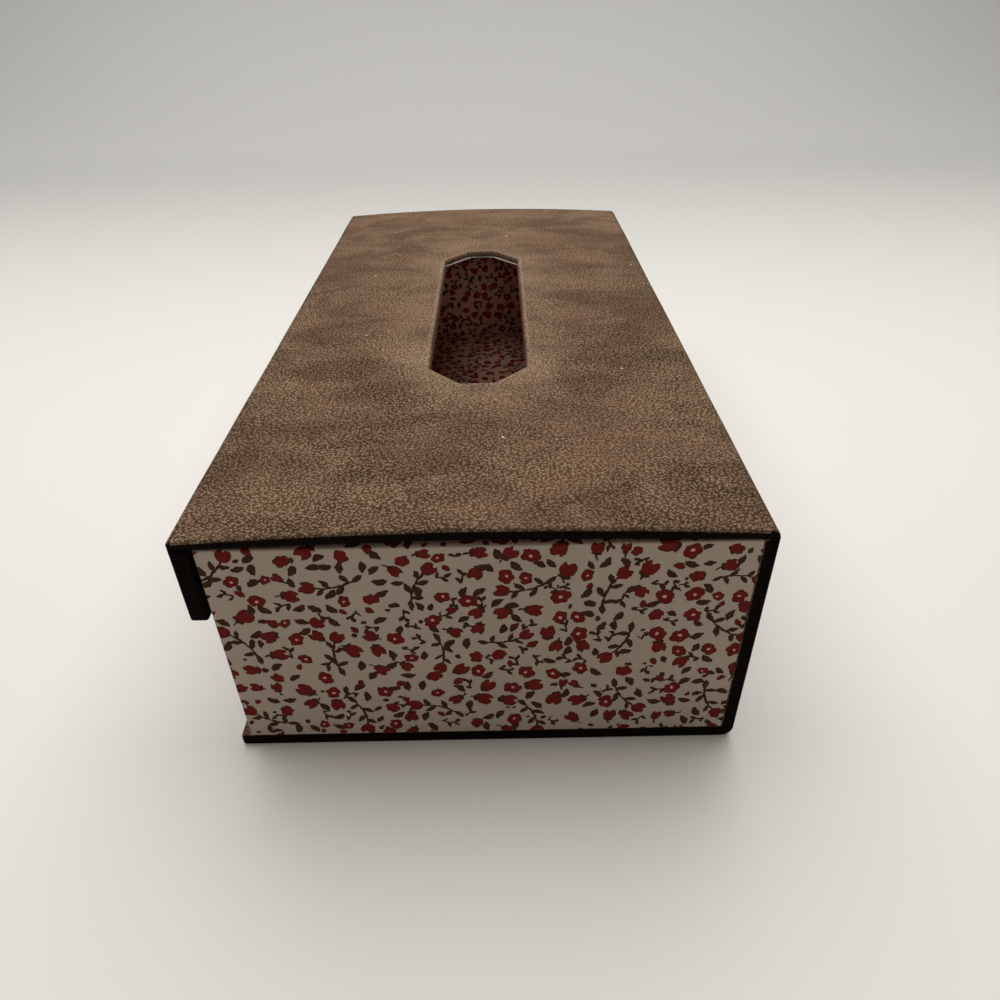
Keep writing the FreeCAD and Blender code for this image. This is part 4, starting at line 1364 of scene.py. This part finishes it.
class TISSUEBOX_OT_folds(bpy.types.Operator):
    """Adds the two folded strips of leather, spine to lid and lid to flap"""

    bl_idname = "tissue_box.folds"
    bl_label = "Leather folds"

    def execute(self, context):
        ensure_groups(context.scene)
        self.add_fold(context.scene, "lid_fold", "lid_hinge_leather", (CASE, LID), 0.0)
        self.add_fold(context.scene, "flap_fold", "flap_hinge_leather", (LID, FLAP), 90.0)
        return {"FINISHED"}

    def add_fold(self, scene, name, node, bodies, start):
        """One strip: a quarter of a tube that starts at the angle start and turns through a right angle."""
        (left, right), (bottom, top) = span(node, 0), span(node, 2)
        on_right = start == 0.0
        middle = (left if on_right else right, bottom)
        points = fold_surface(middle, right - left, start, scene.tissue_box_leather)
        piece = mesh_from_grid(name, points, caps=True)
        set_material(piece, edged_leather(scene))
        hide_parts(node)
        lid_end = (middle[0] * MM, 0.0, top * MM)
        board_end = ((right if on_right else left) * MM, 0.0, bottom * MM)
        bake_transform(piece)


class TISSUEBOX_OT_papers(bpy.types.Operator):
    """Prints the tray's papers and the two lining cards"""

    bl_idname = "tissue_box.papers"
    bl_label = "Printed papers"

    def execute(self, context):
        paper = context.scene.tissue_box_paper
        ensure_groups(context.scene)
        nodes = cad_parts
        # Painted shade: the outside's paper colour is darkened for the shade there.
        outside = print_material("printed_wrap", paper, paper.ground, mapping="wrap_place")
        set_material(nodes["tray_wrap"], outside)
        # Painted light: the lining is printed paler to lift the dim inside.
        inside = print_material("printed_lining", paper, paper.lining, paper.lining_inks)
        for node in ("tray_wall_lining", "tray_floor_lining"):
            set_material(nodes[node], inside)
        cut_edges = {
            "lid_lining": (faces_down, tuple(paper.glued)),
            # Near-black on the flap's card: burnish stain and painted shade.
            "flap_lining": (faces_tray, GLUE_AND_SHADE),
        }
        # The cards use the paler lining copy too: painted light.
        for node, cut_edge in cut_edges.items():
            card = print_material(
                f"{node}_card", paper, paper.lining, paper.lining_inks, cut_edge=cut_edge
            )
            set_material(nodes[node], card)
        return {"FINISHED"}


class TISSUEBOX_OT_boards(bpy.types.Operator):
    """Finishes the hidden boards and magnets"""

    bl_idname = "tissue_box.boards"
    bl_label = "Boards and magnets"

    def execute(self, context):
        grey = board_material(tuple(context.scene.tissue_box_paper.board))
        nickel = magnet_material()
        for name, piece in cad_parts.items():
            if name.endswith("_board"):
                set_material(piece, grey)
            elif name.endswith("_magnet"):
                set_material(piece, nickel)
        return {"FINISHED"}


# The floor's flat part along Y, the curve behind it and its half width, in metres
SWEEP_FRONT = -2.2
SWEEP_BEND = 0.75
SWEEP_RADIUS = 0.5
SWEEP_HALF_WIDTH = 2.4

NEARLY_WHITE = (1.0, 0.99, 0.97)
WARM_LIGHT = (1.0, 0.92, 0.84)


class TISSUEBOX_OT_stage(bpy.types.Operator):
    """Adds the floor, the soft lights and the camera"""

    bl_idname = "tissue_box.stage"
    bl_label = "Stage"

    def execute(self, context):
        settings = context.scene.tissue_box_stage
        self.add_sweep(settings)
        self.add_lights()
        self.add_world(context.scene)
        self.add_camera(context.scene, settings)
        context.scene.view_settings.view_transform = "Standard"
        return {"FINISHED"}

    def add_sweep(self, settings):
        """A floor that curves up behind the box: flat from front to bend, then a quarter circle."""
        angle = np.linspace(0, math.pi / 2, 24)[1:]
        flat = np.linspace(SWEEP_FRONT, SWEEP_BEND, 12)
        y = np.concatenate([flat, SWEEP_BEND + SWEEP_RADIUS * np.sin(angle)])
        z = np.concatenate([np.zeros(12), SWEEP_RADIUS * (1 - np.cos(angle))])
        x = np.linspace(-SWEEP_HALF_WIDTH, SWEEP_HALF_WIDTH, 9)
        rows, columns = len(y), len(x)
        points = np.stack(np.broadcast_arrays(x[None], y[:, None], z[:, None]), axis=-1)
        index = np.arange(rows * columns).reshape(rows, columns)
        quads = np.stack([index[:-1, :-1], index[:-1, 1:], index[1:, 1:], index[1:, :-1]], axis=-1)
        mesh = bpy.data.meshes.new("sweep")
        mesh.from_pydata(points.reshape(-1, 3).tolist(), [], quads.reshape(-1, 4).tolist())
        mesh.shade_smooth()
        sweep = bpy.data.objects.new("sweep", mesh)
        bpy.context.scene.collection.objects.link(sweep)
        material, tree, shader = new_material("sweep")
        # Painted shade: the sweep darkens from the floor's colour to the backdrop's towards the back.
        far = texture_places(tree)[0].parts()[1].ramp(-0.04, 0.66)
        colour = blend_colours(tree, far, tuple(settings.floor), tuple(settings.shaded_backdrop))
        put(tree, shader, Base_Color=colour, Roughness=0.55, Specular_IOR_Level=0.3)
        set_material(sweep, material)

    def add_lights(self):
        """Square lamps: a broad one over the box and behind it, and two weak warm ones in front.

        Each has a name, a place and a direction in metres, the length of its side, its power and its colour.
        """
        lights = (
            ("overhead", (-0.05, 0.95, 1.30), (0.0, 0.0, -1.0), 2.2, 40.0, NEARLY_WHITE),
            ("low", (0.10, -1.45, 0.60), (-0.1, 1.5, -0.52), 0.35, 0.9, WARM_LIGHT),
            ("slant", (-0.10, -0.90, 1.20), (0.1, 0.95, -1.14), 0.5, 2.5, WARM_LIGHT),
        )
        for name, place, ahead, side, power, colour in lights:
            data = bpy.data.lights.new(name, "AREA")
            data.size = side
            data.energy = power
            data.color = colour
            lamp = bpy.data.objects.new(name, data)
            lamp.location = place
            lamp.rotation_euler = Vector(ahead).to_track_quat("-Z", "Y").to_euler()
            bpy.context.scene.collection.objects.link(lamp)

    def add_world(self, scene):
        """Even, slightly warm surroundings: they light weakly, and look pale to the camera."""
        world = bpy.data.worlds.new("room")
        world.use_nodes = True
        tree = world.node_tree
        background = tree.nodes["Background"]
        seen = Wire(tree, tree.nodes.new("ShaderNodeLightPath").outputs["Is Camera Ray"])
        put(tree, background, Color=(1.0, 0.975, 0.94), Strength=seen * 0.60 + 0.05)
        scene.world = world

    def add_camera(self, scene, settings):
        """A camera that looks along the box, tilted down: yaw turns it right, and roll turns the picture."""
        yaw, pitch, roll = settings.yaw, settings.pitch, settings.roll
        ahead = Vector((
            math.sin(yaw) * math.cos(pitch), math.cos(yaw) * math.cos(pitch), -math.sin(pitch),
        ))
        level = Vector((math.cos(yaw), -math.sin(yaw), 0.0))
        down = ahead.cross(level)
        right = level * math.cos(roll) + down * math.sin(roll)
        below = down * math.cos(roll) - level * math.sin(roll)
        axes = Matrix((right, -below, -ahead)).transposed().to_4x4()
        data = bpy.data.cameras.new("camera")
        data.sensor_width = 36.0
        data.lens = settings.lens
        data.clip_start = 0.01
        camera = bpy.data.objects.new("camera", data)
        place = (settings.camera_x, -settings.camera_back, settings.camera_height)
        camera.matrix_world = Matrix.Translation(place) @ axes
        scene.collection.objects.link(camera)
        scene.camera = camera


STEPS = (
    TISSUEBOX_OT_lid_leather,
    TISSUEBOX_OT_case_leather,
    TISSUEBOX_OT_flap_leather,
    TISSUEBOX_OT_folds,
    TISSUEBOX_OT_papers,
    TISSUEBOX_OT_boards,
    TISSUEBOX_OT_stage,
)


class TISSUEBOX_PT_panel(bpy.types.Panel):
    """Lists the box's sizes and colours and the steps that dress it"""

    bl_idname = "TISSUEBOX_PT_panel"
    bl_label = "Tissue Box"
    bl_space_type = "VIEW_3D"
    bl_region_type = "UI"
    bl_category = "Tissue Box"

    def draw(self, context):
        column = self.layout.column()
        for group in SETTINGS:
            settings = getattr(context.scene, group)
            for name in settings.bl_rna.properties.keys():
                if name not in ("rna_type", "name"):
                    column.prop(settings, name)
        for step in STEPS:
            column.operator(step.bl_idname)


SETTINGS = {
    "tissue_box_leather": LeatherSettings,
    "tissue_box_opening": OpeningSettings,
    "tissue_box_paper": PaperSettings,
    "tissue_box_stage": StageSettings,
}


def register():
    """Registers the classes and hangs the settings on the scene."""
    for cls in (*SETTINGS.values(), *STEPS, TISSUEBOX_PT_panel):
        bpy.utils.register_class(cls)
    for name, cls in SETTINGS.items():
        setattr(bpy.types.Scene, name, bpy.props.PointerProperty(type=cls))


def unregister():
    """Takes the settings and the classes away again."""
    for name in SETTINGS:
        delattr(bpy.types.Scene, name)
    for cls in reversed((*SETTINGS.values(), *STEPS, TISSUEBOX_PT_panel)):
        bpy.utils.unregister_class(cls)


def main():
    """Dresses the box and sets the stage."""
    register()
    for step in STEPS:
        package, name = step.bl_idname.split(".")
        getattr(getattr(bpy.ops, package), name)()


if __name__ == "__main__":
    main()
